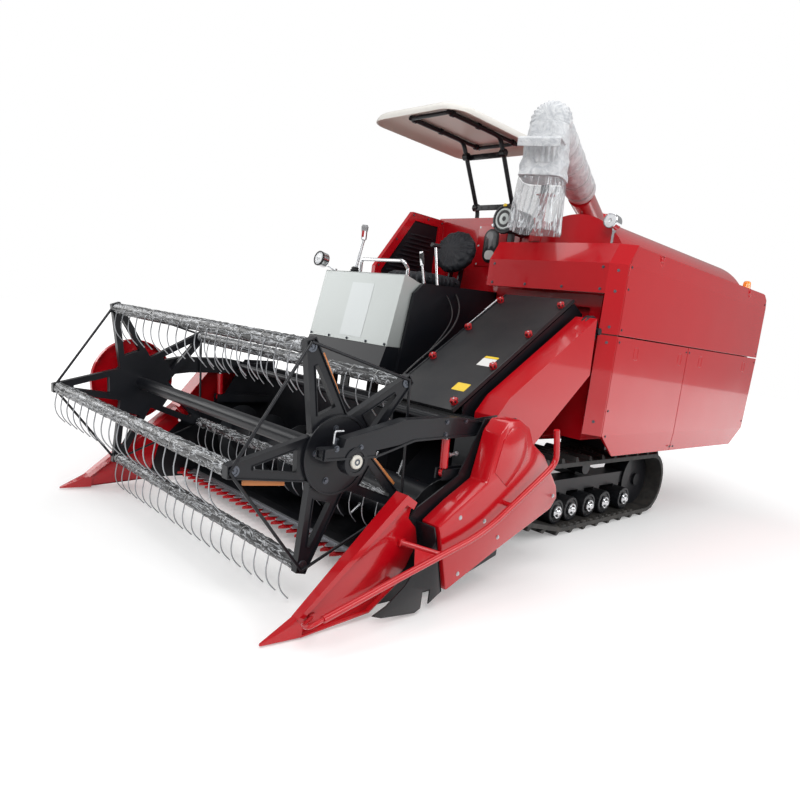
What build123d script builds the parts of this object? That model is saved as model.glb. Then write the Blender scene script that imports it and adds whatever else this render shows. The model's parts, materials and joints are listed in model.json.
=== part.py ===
from build123d import *
from math import atan2, cos, degrees, hypot, radians, sin
import os

os.makedirs("parts", exist_ok=True)

# Frame: millimetres, +Z up, -Y is the front of the machine and +X its left side.
# The origin is on the ground under the middle of the machine.
# A distance "back" is measured from the divider tips. The reel's tines reach a little further forward.
LENGTH = 5388
TINE_REACH = 126
TIPS = TINE_REACH - LENGTH / 2

# Header
HEADER_HALF = 1120            # half of the width inside the end plates
END_PLATE = 8
AUGER_BACK, AUGER_Z = 1160, 340
AUGER_TUBE, AUGER_FLIGHT = 130, 220
AUGER_PITCH = 360
KNIFE_BACK, KNIFE_Z = 830, 101
KNIFE_PITCH = 76.2
KNIFE_COUNT = 28

# Reel
REEL_BACK, REEL_Z = 410, 700
REEL_RADIUS = 495             # reel axis to tine bar axis
REEL_ARMS = 5
REEL_PHASE = -4.7             # degrees that the front arm points below level
SPIDER_LEFT, SPIDER_RIGHT = 950, -1020
TINE_PITCH, TINES = 100, 19
ARM_BACK, ARM_Z = 1270, 827   # hinge of the reel arms

# Feeder house
FEEDER_RIGHT, FEEDER_LEFT = 260, 800
PIVOT_BACK, PIVOT_Z = 2420, 1400
WALL = 8

# Body
BODY_HALF = 1050
SKIN = 22
PANEL_FRONT, PANEL_REAR = 2575, 5262
SEAM_Z = 1390
BODY_LOW, BODY_TOP = 585, 1980
SEAM_BACK = 3700              # upright seam between the two lower doors

# Tracks
TRACK_OUT, TRACK_WIDTH = 880, 450
BELT = 30
LUG = 30
LUG_PITCH = 90
SPROCKET = (2180, 315, 200)   # back, height and outer belt radius at each end of the loop
IDLER = (3830, 270, 240)
ROLLER_Z, ROLLER_RADIUS = 150, 88
ROLLERS_BACK = (2570, 2760, 3010, 3240, 3550)
FRAME_LOW, FRAME_TOP = 580, 660
CROSS_BEAMS = (2650, 3400)    # carry the roller beams
TOW_BACK = 5090               # towing hole at the rear

# Unloading auger: the turret's axis and the middle of the spout, both seen from above
TURRET_X, TURRET_BACK = -450, 4650
SPOUT_X, SPOUT_BACK = 480, 2300
TUBE_Z, TUBE_RISE = 2480, 150
TUBE_RADIUS, WRAP_RADIUS = 105, 135
WRAP_SHARE = 0.45            # where the wrapping starts along the tube

# Threshing hood, operator's place and canopy
HOOD_X, HOOD_Z, HOOD_RADIUS = 520, 1762, 438
SEAT_X = -500
CANOPY_X, CANOPY_Z = -500, 2770

# Sockets in the console's top for what stands on it: X, back and radius
CONSOLE_SEAT = 1560
CONSOLE_SOCKETS = ((-560, 1730, 12), (-130, 1780, 12), (-640, 1745, 22), (-850, 1740, 8))

# Hydraulic cylinders: X, then the back and height of the base pin and of the rod's eye
PIN = 12
EYE_PLAY, UNLOAD_PLAY = 4, 6
LIFT_X, LIFT_BASE, LIFT_EYE = 510, (2955, 620), (1950, 630)
LIFT_POCKET_TOP = 736         # the barrel swings up into a pocket of the housing
REEL_LIFT_X = {1: 1072, -1: -1080}
REEL_LIFT_BASE, REEL_LIFT_EYE = (1010, 605), (990, 845)

# Cylinder of the unloading tube: level distance from the turret's axis and height, of its foot and its eye
UNLOAD_FOOT, UNLOAD_BASE_Z = 170, 2318
UNLOAD_REACH, UNLOAD_EYE_Z = 850, 2387

# Tine bar journals, and the outline of one tine from its bar's axis
JOURNAL = 12
TINE_OUTLINE = ((-7, -12), (-43, -84), (-25, -142), (19, -196), (25, -194), (-19, -138), (-36, -84), (5, -12))


def at(x, back, z):
    """Point at a distance behind the divider tips."""
    return Vector(x, TIPS + back, z)


def side_plane(x):
    """Upright plane across X whose own axes are the distance behind the tips and the height."""
    return Plane(origin=(x, TIPS, 0), x_dir=(0, 1, 0), z_dir=(1, 0, 0))


def side_plate(x_low, x_high, outline, mode=Mode.ADD):
    """Plate between two X positions, from the (back, z) points of its outline."""
    with BuildSketch(side_plane(x_low)) as face:
        with BuildLine():
            Polyline(*outline, close=True)
        make_face()
    extrude(face.sketch, amount=x_high - x_low, mode=mode)


def level_plate(z_low, z_high, outline, mode=Mode.ADD):
    """Plate between two heights, from the (x, back) points of its outline."""
    with BuildSketch(Plane(origin=(0, TIPS, z_low))) as face:
        with BuildLine():
            Polyline(*outline, close=True)
        make_face()
    extrude(face.sketch, amount=z_high - z_low, mode=mode)


def block(x, back, z, mode=Mode.ADD):
    """Box from the low and high values of X, distance behind the tips and height."""
    with Locations(at(sum(x) / 2, sum(back) / 2, sum(z) / 2)):
        Box(x[1] - x[0], back[1] - back[0], z[1] - z[0], mode=mode)


def rod(start, end, radius, mode=Mode.ADD):
    """Round bar from one point to another."""
    with Locations(Plane(origin=start, z_dir=end - start)):
        Cylinder(radius, (end - start).length, align=(Align.CENTER, Align.CENTER, Align.MIN), mode=mode)


def cross_rod(x, back, z, radius, mode=Mode.ADD):
    """Round bar along X between two X positions."""
    rod(at(x[0], back, z), at(x[1], back, z), radius, mode)


def bent_tube(points, bend, radius):
    """Round tube along straight runs joined by arcs of one radius."""
    with BuildLine() as path:
        FilletPolyline(*points, radius=bend)
    start = path.line @ 0
    with BuildSketch(Plane(origin=start, z_dir=path.line % 0)) as section:
        Circle(radius)
    sweep(section.sketch, path=path.line)


def save(piece, label):
    """Name a finished piece and write its STEP file."""
    piece.part.label = label
    export_step(piece.part, f"parts/{label}.step")


# ---------------------------------------------------------------- undercarriage

def loop_face(plane, shrink):
    """Outline of the track loop, moved inwards by some thickness."""
    flat = ((ROLLERS_BACK[0], LUG + 200, 200), (ROLLERS_BACK[-1], LUG + 200, 200))
    with BuildSketch(plane) as loop:
        for back, z, radius in (SPROCKET, IDLER) + flat:
            with Locations((back, z)):
                Circle(radius - shrink)
        make_hull(loop.sketch_local.edges())
    return loop.sketch


def make_track(label, side):
    """Rubber track: one belt with lugs on the outside, set alternately to its left and right."""
    low = TRACK_OUT - TRACK_WIDTH if side > 0 else -TRACK_OUT
    outline = loop_face(side_plane(low), 0)
    wire = outline.face().outer_wire()
    count = round(wire.length / LUG_PITCH / 2) * 2
    middle = at(low, 3000, 290)
    places = []
    for number in range(count):
        spot, along = wire @ (number / count), wire % (number / count)
        outward = along.cross(Vector(1, 0, 0))
        if (spot - middle).dot(outward) < 0:
            outward = outward * -1
        across = low + TRACK_WIDTH * (0.35 if number % 2 else 0.65)
        foot = Vector(across, spot.Y, spot.Z) - outward * 2
        places.append(Plane(origin=foot, x_dir=(1, 0, 0), z_dir=outward))
    with BuildPart() as track:
        extrude(outline, amount=TRACK_WIDTH)
        extrude(loop_face(side_plane(low), BELT), amount=TRACK_WIDTH, mode=Mode.SUBTRACT)
        with BuildSketch(*places) as feet:
            Rectangle(TRACK_WIDTH * 0.68, 44)
        extrude(feet.sketch, amount=LUG + 2, taper=18)
    save(track, label)


def make_undercarriage(label, side):
    """Roller beam of one track with its rollers, rear idler, drive sprocket and carrier roller."""
    middle = side * (TRACK_OUT - TRACK_WIDTH / 2)

    def band(near, far):
        return sorted((middle + side * near, middle + side * far))

    with BuildPart() as carriage:
        block(band(-75, 75), (2420, 3700), (255, 345))
        for back in ROLLERS_BACK:
            cross_rod(band(-150, 150), back, ROLLER_Z, ROLLER_RADIUS)
            cross_rod(band(-165, 165), back, ROLLER_Z, 34)
            block(band(-75, 75), (back - 45, back + 45), (ROLLER_Z, 260))
        side_plate(*band(-75, 75), ((3690, 345), (3690, 255), (3850, 235), (3850, 305)))
        cross_rod(band(-90, 90), IDLER[0], IDLER[1], IDLER[2] - BELT - 2)
        cross_rod(band(-110, 110), IDLER[0], IDLER[1], 50)
        cross_rod(band(-60, 60), SPROCKET[0], SPROCKET[1], SPROCKET[2] - BELT - 2)
        cross_rod(band(-130, 90), SPROCKET[0], SPROCKET[1], 75)
        side_plate(*band(-95, -75), ((2540, 345), (2540, 255), (2180, 270), (2180, 360)))
        cross_rod(band(-90, 90), 3010, 422, 55)
        block(band(-20, 20), (2985, 3035), (340, 422))
    save(carriage, label)


def make_main_frame():
    """Welded chassis: two long rails, cross members, and the gearbox bridge between the sprockets."""
    inner = TRACK_OUT - TRACK_WIDTH / 2 - 75
    with BuildPart() as frame:
        for low, high, start in ((300, 400, 2300), (-400, -300, 1760)):
            block((low, high), (start, 5000), (FRAME_LOW, FRAME_TOP))
            for back in CROSS_BEAMS:
                block((low, high), (back - 50, back + 50), (255, FRAME_LOW))
        for back in CROSS_BEAMS:
            block((-inner, inner), (back - 45, back + 45), (255, 345))
        for back in (3050, 4300, 4950):
            block((-860, 860), (back - 40, back + 40), (FRAME_LOW, FRAME_TOP))
        block((-860, 400), (2300, 2380), (FRAME_LOW, FRAME_TOP))
        block((-860, -300), (1760, 1840), (FRAME_LOW, FRAME_TOP))
        block((-170, 170), (2050, 2310), (230, FRAME_LOW))
        block((-60, 60), (4985, 5130), (600, 620))
        rod(at(0, TOW_BACK, 590), at(0, TOW_BACK, 630), 16, Mode.SUBTRACT)
        cross_rod((55 - inner, inner - 55), SPROCKET[0], SPROCKET[1], 62)
        for low in (LIFT_X - 55, LIFT_X + 40):
            side_plate(low, low + 15, ((3020, 655), (3020, 585), (2930, 585), (2930, 655)))
        cross_rod((LIFT_X - 55, LIFT_X + 55), LIFT_BASE[0], LIFT_BASE[1], PIN)
    save(frame, "main_frame")


# ---------------------------------------------------------------- hydraulic cylinders

def make_cylinder(barrel_label, rod_label, base, eye, across, barrel_length, radius, width, play):
    """Hydraulic cylinder with a bored barrel and a rod, from its base pin to the pin of its rod's eye."""
    axis = (eye - base).normalized()
    neck = PIN + 14
    rod_radius = radius / 2
    half = across * (width / 2)
    with BuildPart() as barrel:
        rod(base + axis * neck, base + axis * barrel_length, radius)
        rod(base, base + axis * (neck + 2), width * 0.4)
        rod(base - half, base + half, PIN + 10)
        rod(base + axis * (neck + 4), base + axis * barrel_length, rod_radius + 0.3, Mode.SUBTRACT)
        rod(base - half * 2, base + half * 2, PIN + 0.3, Mode.SUBTRACT)
    save(barrel, barrel_label)
    with BuildPart() as plunger:
        rod(base + axis * (neck + 10), eye, rod_radius)
        rod(eye - half, eye + half, PIN + play + 9)
        rod(eye - half * 2, eye + half * 2, PIN + play, Mode.SUBTRACT)
    save(plunger, rod_label)


# ---------------------------------------------------------------- header

def make_header_platform():
    """Trough round the auger, back sheet with the feeder's opening, end plates and cross tubes."""
    half, wall = HEADER_HALF, WALL
    rim = AUGER_FLIGHT + 25
    with BuildPart() as platform:
        with BuildSketch(side_plane(-half)) as profile:
            with BuildLine():
                sole = Line((KNIFE_BACK - 20, 75), (960, 75))
                low = ThreePointArc(sole @ 1, (AUGER_BACK + 30, AUGER_Z - rim - wall), (1400, 230))
                up = Polyline(low @ 1, (1420, 300), (1420, 830), (1420 - wall, 830), (1420 - wall, 302))
                back = ThreePointArc(up @ 1, (AUGER_BACK + 28, AUGER_Z - rim), (965, 75 + wall))
                Polyline(back @ 1, (KNIFE_BACK - 20, 75 + wall), sole @ 0)
            make_face()
        extrude(profile.sketch, amount=2 * half)
        block((-half, half), (1372, 1420), (795, 840))
        block((-half, half), (1425, 1475), (150, 210))
        block((-half, half), (1400, 1430), (150, 210))
        block((FEEDER_RIGHT + 14, FEEDER_LEFT - 14), (1380, 1480), (236, 790), Mode.SUBTRACT)
        for low in (-half - END_PLATE, half):
            side_plate(low, low + END_PLATE, (
                (560, 40), (1080, 30), (1475, 130), (1475, 880), (1210, 880), (1060, 600),
                (800, 470), (620, 300)))
        for side in (1, -1):
            arm = REEL_LIFT_X[side]
            for low in (arm - 37, arm + 29):
                side_plate(low, low + 8, (
                    (1420, 800), (1420, 880), (1300, 870), (1245, 862), (1235, 800), (1300, 780)))
            cross_rod((arm - 37, arm + 37), ARM_BACK, ARM_Z, PIN)
            for low in (arm - 28, arm + 18):
                side_plate(low, low + 10, (
                    (REEL_LIFT_BASE[0] - 30, REEL_LIFT_BASE[1] + 22), (REEL_LIFT_BASE[0] - 30, 575),
                    (1415, 575), (1415, REEL_LIFT_BASE[1] + 22)))
            cross_rod((arm - 28, arm + 28), *REEL_LIFT_BASE, PIN)
    save(platform, "header_platform")


def make_dividers():
    """Two pointed crop dividers: each a flat outer sheet, a folded top rail and a solid tip."""
    inner, outer = HEADER_HALF + END_PLATE + 2, HEADER_HALF + END_PLATE + 10
    sheet = ((0, 14), (143, 83), (674, 535), (790, 490), (800, 420), (620, 300), (540, 30), (168, 6))
    rail = ((143, 83), (674, 544), (800, 492), (780, 470), (672, 518), (170, 80))
    tip = ((0, 14), (143, 83), (170, 80), (190, 20))
    with BuildPart() as dividers:
        for side in (1, -1):
            for depth, outline in ((0, sheet), (62, rail), (30, tip)):
                side_plate(*sorted((side * (inner - depth), side * outer)), outline)
    save(dividers, "dividers")


def make_side_fairing():
    """Moulded cover over the header's drive side, hollow towards the machine."""
    inner, outer = HEADER_HALF + END_PLATE + 12, 1255
    with BuildPart() as fairing:
        with BuildSketch(side_plane(inner)) as outline:
            with BuildLine():
                foot = Polyline((1400, 237), (930, 86), (815, 393), (700, 470), (908, 567), (985, 609), (1060, 820))
                hump = ThreePointArc(foot @ 1, (1235, 940), (1407, 852))
                Polyline(hump @ 1, (1478, 777), (1610, 706), (1771, 530), (1794, 453), (1737, 384), foot @ 0)
            make_face()
        extrude(outline.sketch, amount=outer - inner)
        fillet(fairing.faces().sort_by(Axis.X)[-1].edges(), 22)
        with BuildSketch(side_plane(inner)) as hollow:
            add(outline.sketch_local)
            offset(amount=-5, mode=Mode.REPLACE)
        extrude(hollow.sketch, amount=outer - inner - 26, mode=Mode.SUBTRACT)
    save(fairing, "side_fairing_left")


def make_side_cover():
    """Plainer cover on the header's right-hand side."""
    outer, inner = -1290, -HEADER_HALF - END_PLATE - 12
    outline = ((930, 86), (815, 393), (700, 470), (940, 780), (1040, 850), (1700, 740), (1790, 500),
               (1737, 384), (1400, 237))
    with BuildPart() as cover:
        side_plate(outer, inner, outline)
        fillet(cover.faces().sort_by(Axis.X)[0].edges(), 22)
        with BuildSketch(side_plane(inner)) as hollow:
            with BuildLine():
                Polyline(*outline, close=True)
            make_face()
            offset(amount=-5, mode=Mode.REPLACE)
        extrude(hollow.sketch, amount=outer - inner + 26, mode=Mode.SUBTRACT)
    save(cover, "side_cover_right")


def make_guard_rail():
    """Bent tube that keeps standing crop off the fairing, with its two stays."""
    x = 1300
    with BuildPart() as rail:
        bent_tube((at(1150, 130, 160), at(x, 150, 165), at(x, 550, 240), at(x, 1100, 363), at(x, 1600, 640),
                   at(x, 1640, 700), at(x, 1600, 850)), 28, 14)
        rod(at(1138, 560, 242), at(x, 560, 242), 12)
        rod(at(1255, 1300, 474), at(x, 1300, 474), 12)
    save(rail, "guard_rail_left")


def make_knife_guards():
    """Finger bar with one pointed guard for each knife section."""
    first = -(KNIFE_COUNT - 1) / 2 * KNIFE_PITCH
    with BuildPart() as guards:
        block((-HEADER_HALF + 2, HEADER_HALF - 2), (KNIFE_BACK - 50, KNIFE_BACK - 22), (76, 95))
        planes = [side_plane(first + number * KNIFE_PITCH - 8) for number in range(KNIFE_COUNT)]
        with BuildSketch(*planes) as fingers:
            with BuildLine():
                Polyline((KNIFE_BACK - 30, 76), (KNIFE_BACK - 90, 80), (KNIFE_BACK - 95, 84),
                         (KNIFE_BACK - 60, 95), (KNIFE_BACK - 30, 95), close=True)
            make_face()
        extrude(fingers.sketch, amount=16)
    save(guards, "knife_guards")


def make_knife():
    """Reciprocating knife: triangular sections in one toothed plate on a back bar."""
    start = -(KNIFE_COUNT - 2) / 2 * KNIFE_PITCH
    edge = [(start, KNIFE_BACK - 25)]
    for number in range(KNIFE_COUNT - 2):
        left = start + number * KNIFE_PITCH
        edge += [(left + 30, KNIFE_BACK - 80), (left + 46, KNIFE_BACK - 80), (left + KNIFE_PITCH, KNIFE_BACK - 25)]
    with BuildPart() as knife:
        level_plate(KNIFE_Z, KNIFE_Z + 4, edge + [(-start, KNIFE_BACK), (start, KNIFE_BACK)])
        block((start, -start), (KNIFE_BACK - 22, KNIFE_BACK), (KNIFE_Z, KNIFE_Z + 12))
    save(knife, "knife")


def make_header_auger():
    """Auger drum with two opposed flights that bring the crop to the feeder's mouth."""
    middle = (FEEDER_RIGHT + FEEDER_LEFT) / 2
    half = HEADER_HALF - 12
    ends = ((-half, middle - 220, 1), (middle + 220, half, -1))
    with BuildPart() as auger:
        cross_rod((-half, half), AUGER_BACK, AUGER_Z, AUGER_TUBE)
        cross_rod((-half - 10, half + 10), AUGER_BACK, AUGER_Z, 25)
        for low, high, hand in ends:
            turns = round((high - low) / AUGER_PITCH * 2) / 2
            flight(low, high, turns, hand)
        for number in range(6):
            angle = radians(60 * number)
            reach = AUGER_FLIGHT - 12
            x = middle - 150 + 60 * number
            rod(at(x, AUGER_BACK, AUGER_Z),
                at(x, AUGER_BACK + reach * cos(angle), AUGER_Z + reach * sin(angle)), 8)
    save(auger, "header_auger")


def flight(low, high, turns, hand):
    """One auger flight, as flat leaves that each climb an eighth of a turn."""
    steps = round(turns * 8)
    rise = (high - low) / steps
    leaf = AUGER_FLIGHT
    for number in range(steps):
        x = low + rise * (number + 0.5)
        angle = hand * 45 * number
        turn = Plane(origin=at(x, AUGER_BACK, AUGER_Z), x_dir=(0, cos(radians(angle)), sin(radians(angle))),
                     z_dir=(1, 0, 0))
        tilt = degrees(atan2(rise, 2 * leaf * sin(radians(22.5)) * 0.8))
        with BuildSketch(turn.rotated((-hand * tilt * 0.9, 0, 0))) as piece:
            with BuildLine():
                Polyline((AUGER_TUBE * 0.8, -AUGER_TUBE * 0.42), (leaf * cos(radians(24)), -leaf * sin(radians(24))),
                         (leaf * cos(radians(24)), leaf * sin(radians(24))), (AUGER_TUBE * 0.8, AUGER_TUBE * 0.42),
                         close=True)
            make_face()
        extrude(piece.sketch, amount=3, both=True)


def make_feeder():
    """Feeder house: a sloping duct with an open mouth, its lid, and the cover of its side drive."""
    low, high = FEEDER_RIGHT, FEEDER_LEFT
    outer = ((1428, 236), (2440, 1080), (2520, 1180), (2520, 1500), (2400, 1560), (1428, 890))
    inner = ((1300, 160), (2440, 1092), (2620, 1190), (2620, 1490), (2400, 1548), (1300, 790))
    with BuildPart() as house:
        side_plate(low, high, outer)
        side_plate(low + WALL, high - WALL, inner, Mode.SUBTRACT)
        cross_rod((low - 55, high + 200), PIVOT_BACK, PIVOT_Z, 22)
        for x in (LIFT_X - 50, LIFT_X + 38):
            side_plate(x, x + 12, ((2060, 775), (1900, 640), (1920, 600), (1985, 600), (2120, 810)))
        cross_rod((LIFT_X - 50, LIFT_X + 50), LIFT_EYE[0], LIFT_EYE[1], PIN)
    save(house, "feeder_house")
    with BuildPart() as lid:
        side_plate(low - 4, high + 4, ((1345, 848), (2395, 1570), (2385, 1585), (1335, 862)))
        slope = Plane(origin=at(0, 1335, 862), x_dir=(1, 0, 0), z_dir=(0, -723, 1050))
        knobs = [(x, along) for x in (low + 30, high - 30) for along in (60, 430, 800, 1170)]
        with BuildSketch(slope.offset(-2)) as base:
            with Locations(*knobs):
                Circle(20)
        extrude(base.sketch, amount=26)
    save(lid, "feeder_lid")
    with BuildPart() as cover:
        side_plate(high + 36, 990, (
            (2380, 1478), (2400, 1120), (1970, 760), (1600, 430), (1490, 440), (1490, 860), (1580, 960)))
        side_plate(high + 30, 984, (
            (2370, 1455), (2390, 1130), (1965, 772), (1590, 440), (1500, 450), (1500, 855), (1588, 950)),
            Mode.SUBTRACT)
    save(cover, "feeder_drive_cover")


# ---------------------------------------------------------------- reel

def arm_angle(number):
    """Direction of one spider arm, in degrees from straight ahead and turning upwards."""
    return REEL_PHASE + 360 / REEL_ARMS * number


def tip_of(number, radius=REEL_RADIUS):
    """Back and height of a point out along one spider arm."""
    angle = radians(arm_angle(number))
    return REEL_BACK - radius * cos(angle), REEL_Z + radius * sin(angle)


def make_reel_frame():
    """Reel: a central tube with a pressed spider at each end, joined from tip to tip by flat stays."""
    with BuildPart() as reel:
        cross_rod((SPIDER_RIGHT, SPIDER_LEFT), REEL_BACK, REEL_Z, 38)
        cross_rod((-1150, 1106), REEL_BACK, REEL_Z, 20)
        for x, side in ((SPIDER_LEFT, 1), (SPIDER_RIGHT, -1)):
            with BuildSketch(side_plane(x - 14)) as spider:
                with Locations((REEL_BACK, REEL_Z)):
                    Circle(175)
                for number in range(REEL_ARMS):
                    ray = Vector(-cos(radians(arm_angle(number))), sin(radians(arm_angle(number))))
                    aside = Vector(-ray.Y, ray.X)
                    hub = Vector(REEL_BACK, REEL_Z)
                    with BuildLine():
                        Polyline(hub + ray * 120 + aside * 105, hub + ray * (REEL_RADIUS + 34) + aside * 26,
                                 hub + ray * (REEL_RADIUS + 34) - aside * 26, hub + ray * 120 - aside * 105,
                                 close=True)
                    make_face()
                    with BuildLine():
                        Polyline(hub + ray * 205 + aside * 52, hub + ray * 415 + aside * 9,
                                 hub + ray * 415 - aside * 9, hub + ray * 205 - aside * 52, close=True)
                    make_face(mode=Mode.SUBTRACT)
                    with Locations(hub + ray * REEL_RADIUS):
                        Circle(JOURNAL + 0.3, mode=Mode.SUBTRACT)
            extrude(spider.sketch, amount=28)
            for number in range(REEL_ARMS):
                start, end = tip_of(number, REEL_RADIUS + 22), tip_of(number + 1, REEL_RADIUS + 22)
                rod(at(x + side * 19, *start), at(x + side * 19, *end), 7)
    save(reel, "reel_frame")


def make_tine_bar(number):
    """One bar of the reel with its row of curved spring tines, which always hang down."""
    back, z = tip_of(number)
    spread = (TINES - 1) / 2 * TINE_PITCH
    centre = (SPIDER_LEFT + SPIDER_RIGHT) / 2
    with BuildPart() as bar:
        cross_rod((SPIDER_RIGHT + 22, SPIDER_LEFT - 22), back, z, 20)
        cross_rod((SPIDER_RIGHT - 12, SPIDER_LEFT + 12), back, z, JOURNAL)
        planes = [side_plane(centre - spread + TINE_PITCH * place - 3) for place in range(TINES)]
        with BuildSketch(*planes) as tines:
            with BuildLine():
                Polyline(*[(back + a, z + b) for a, b in TINE_OUTLINE], close=True)
            make_face()
        extrude(tines.sketch, amount=6)
    save(bar, f"tine_bar_{number + 1}")


def make_reel_arms():
    """Lift arms of the reel, from their hinges on the header forward to its bearings, and the tube between."""
    eye_back, eye_z = REEL_LIFT_EYE
    with BuildPart() as arms:
        for middle in REEL_LIFT_X.values():
            low, high = middle - 24, middle + 24
            side_plate(low, high, (
                (1300, 800), (1300, 850), (1030, 885), (682, 876), (340, 800), (330, 735), (460, 735),
                (752, 775), (1166, 788)))
            block((low, high), (237, 520), (712, 760))
            cross_rod((low, high), REEL_BACK, REEL_Z, 62)
            cross_rod((low - 1, high + 1), REEL_BACK, REEL_Z, 20.3, Mode.SUBTRACT)
            cross_rod((low - 1, high + 1), ARM_BACK, ARM_Z, PIN + 0.3, Mode.SUBTRACT)
            block((middle - 17, middle + 17), (eye_back - 60, eye_back + 60), (eye_z - 70, eye_z + 30),
                  Mode.SUBTRACT)
            cross_rod((middle - 18, middle + 18), eye_back, eye_z, PIN)
        cross_rod((REEL_LIFT_X[-1], REEL_LIFT_X[1]), 1120, 835, 22)
    save(arms, "reel_arms")


def make_reel_drive_guard():
    """Round cover over the reel's chain wheel, on a boss of the right-hand reel arm."""
    arm = REEL_LIFT_X[-1] - 24
    with BuildPart() as guard:
        cross_rod((arm - 86, arm - 42), REEL_BACK, REEL_Z, 265)
        fillet(guard.faces().sort_by(Axis.X)[0].edges(), 16)
        cross_rod((arm - 80, arm - 42), REEL_BACK, REEL_Z, 259, Mode.SUBTRACT)
        cross_rod((arm - 84, arm), REEL_BACK, REEL_Z, 60)
        cross_rod((arm - 60, arm), REEL_BACK, REEL_Z, 24, Mode.SUBTRACT)
    save(guard, "reel_drive_guard")


# ---------------------------------------------------------------- body

def make_housing():
    """Threshing and cleaning housing behind the feeder, with its ears for the feeder's shaft."""
    with BuildPart() as housing:
        side_plate(-20, 860, (
            (2640, 664), (4980, 664), (5080, 900), (5080, 1900), (2640, 1900)))
        block((100, 780), (2640, 2700), (1120, 1560), Mode.SUBTRACT)
        block((LIFT_X - 60, LIFT_X + 60), (2640, 3030), (664, LIFT_POCKET_TOP), Mode.SUBTRACT)
        for low in (FEEDER_RIGHT - 30, FEEDER_LEFT + 12):
            with BuildSketch(side_plane(low)) as ear:
                with BuildLine():
                    Polyline((2705, 1300), (2705, 1500), (2420, 1450), (2400, 1380), close=True)
                make_face()
                with Locations((PIVOT_BACK, PIVOT_Z)):
                    Circle(50)
                    Circle(22.3, mode=Mode.SUBTRACT)
            extrude(ear.sketch, amount=12)
    save(housing, "threshing_housing")


def make_hood():
    """Round hood over the threshing drum, closed at both ends."""
    with BuildPart() as hood:
        with BuildSketch(Plane(origin=(0, TIPS + 2720, 0), x_dir=(1, 0, 0), z_dir=(0, -1, 0))) as arch:
            with Locations((HOOD_X, HOOD_Z)):
                Circle(HOOD_RADIUS)
            with Locations((HOOD_X, HOOD_Z - 500 + BODY_TOP - HOOD_Z)):
                Rectangle(1000, 1000, mode=Mode.SUBTRACT)
        extrude(arch.sketch, amount=-2300)
    save(hood, "threshing_hood")


def make_deck():
    """Body roof, its folded front beam above the feeder, and the rest under the stowed tube."""
    with BuildPart() as deck:
        side_plate(-20, 945, (
            (2500, 1650), (2500, 1842), (2590, BODY_TOP), (2700, BODY_TOP), (2700, BODY_TOP - 6),
            (2594, BODY_TOP - 6), (2506, 1840), (2506, 1656), (2560, 1656), (2560, 1650)))
        block((-20, 1020), (2690, 5240), (BODY_TOP - 20, BODY_TOP - 1))
        block((945, 1020), (2655, 2700), (BODY_TOP - 20, BODY_TOP - 1))
        rest = tube_point(0.78).X
        block((rest - 30, rest + 30), (2625, 2640), (BODY_TOP - 6, 2330))
        block((rest - 45, rest + 45), (2600, 2680), (BODY_TOP - 6, BODY_TOP + 8))
        block((rest - 60, rest + 60), (2625, 2700), (2322, 2330))
    save(deck, "deck_beam")


def make_corner_panel():
    """Chamfered front corner between the cross beam and the side doors."""
    with BuildPart() as panel:
        level_plate(730, 1842, ((945, 2500), (1048, 2563), (1048, 2570), (1036, 2570), (945, 2516)))
        for z in (760, 1300, 1800):
            block((860, 960), (2590, 2640), (z, z + 30))
            block((935, 1020), (2512, 2640), (z, z + 30))
    save(panel, "corner_panel")


def make_side_doors():
    """The three flat doors of the left side: one long upper door and two lower ones."""
    inner = BODY_HALF - SKIN
    gap = 4
    upper = ((PANEL_FRONT, SEAM_Z + gap), (PANEL_FRONT, 1842), (2655, BODY_TOP - 10), (5205, BODY_TOP - 10),
             (PANEL_REAR, 1925), (PANEL_REAR, SEAM_Z + gap))
    front = ((PANEL_FRONT, SEAM_Z - gap), (SEAM_BACK - gap, SEAM_Z - gap), (SEAM_BACK - gap, BODY_LOW),
             (2780, BODY_LOW), (PANEL_FRONT, 733))
    rear = ((SEAM_BACK + gap, SEAM_Z - gap), (PANEL_REAR, SEAM_Z - gap), (5212, 740), (5003, BODY_LOW),
            (SEAM_BACK + gap, BODY_LOW))
    doors = (
        ("upper_door", upper, ((3000, 1870), (4800, 1870))),
        ("lower_front_door", front, ((2860, 1340), (3480, 1340))),
        ("lower_rear_door", rear, ((3920, 1340), (5040, 1340))),
    )
    for label, outline, latches in doors:
        with BuildPart() as door:
            side_plate(inner, BODY_HALF, outline)
            with BuildSketch(side_plane(BODY_HALF)) as recess:
                with Locations(*latches):
                    RectangleRounded(110, 46, 12)
            extrude(recess.sketch, amount=-12, mode=Mode.SUBTRACT)
        save(door, label)


def make_rear_cover():
    """Rear wall with the straw outlet's hood and the frame behind the doors."""
    with BuildPart() as rear:
        block((-1020, 1020), (5090, 5110), (700, BODY_TOP - 22))
        block((60, 820), (5080, 5120), (760, 1300), Mode.SUBTRACT)
        for x in ((40, 60), (820, 840)):
            side_plate(*x, ((5100, 760), (5100, 1460), (5245, 1300), (5245, 900), (5160, 760)))
        side_plate(40, 840, ((5100, 1460), (5245, 1300), (5245, 1280), (5225, 1280), (5100, 1420)))
        for x in ((985, 1020), (-1020, -985)):
            block(x, (5030, 5100), (700, BODY_TOP - 22))
    save(rear, "rear_cover")


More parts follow.
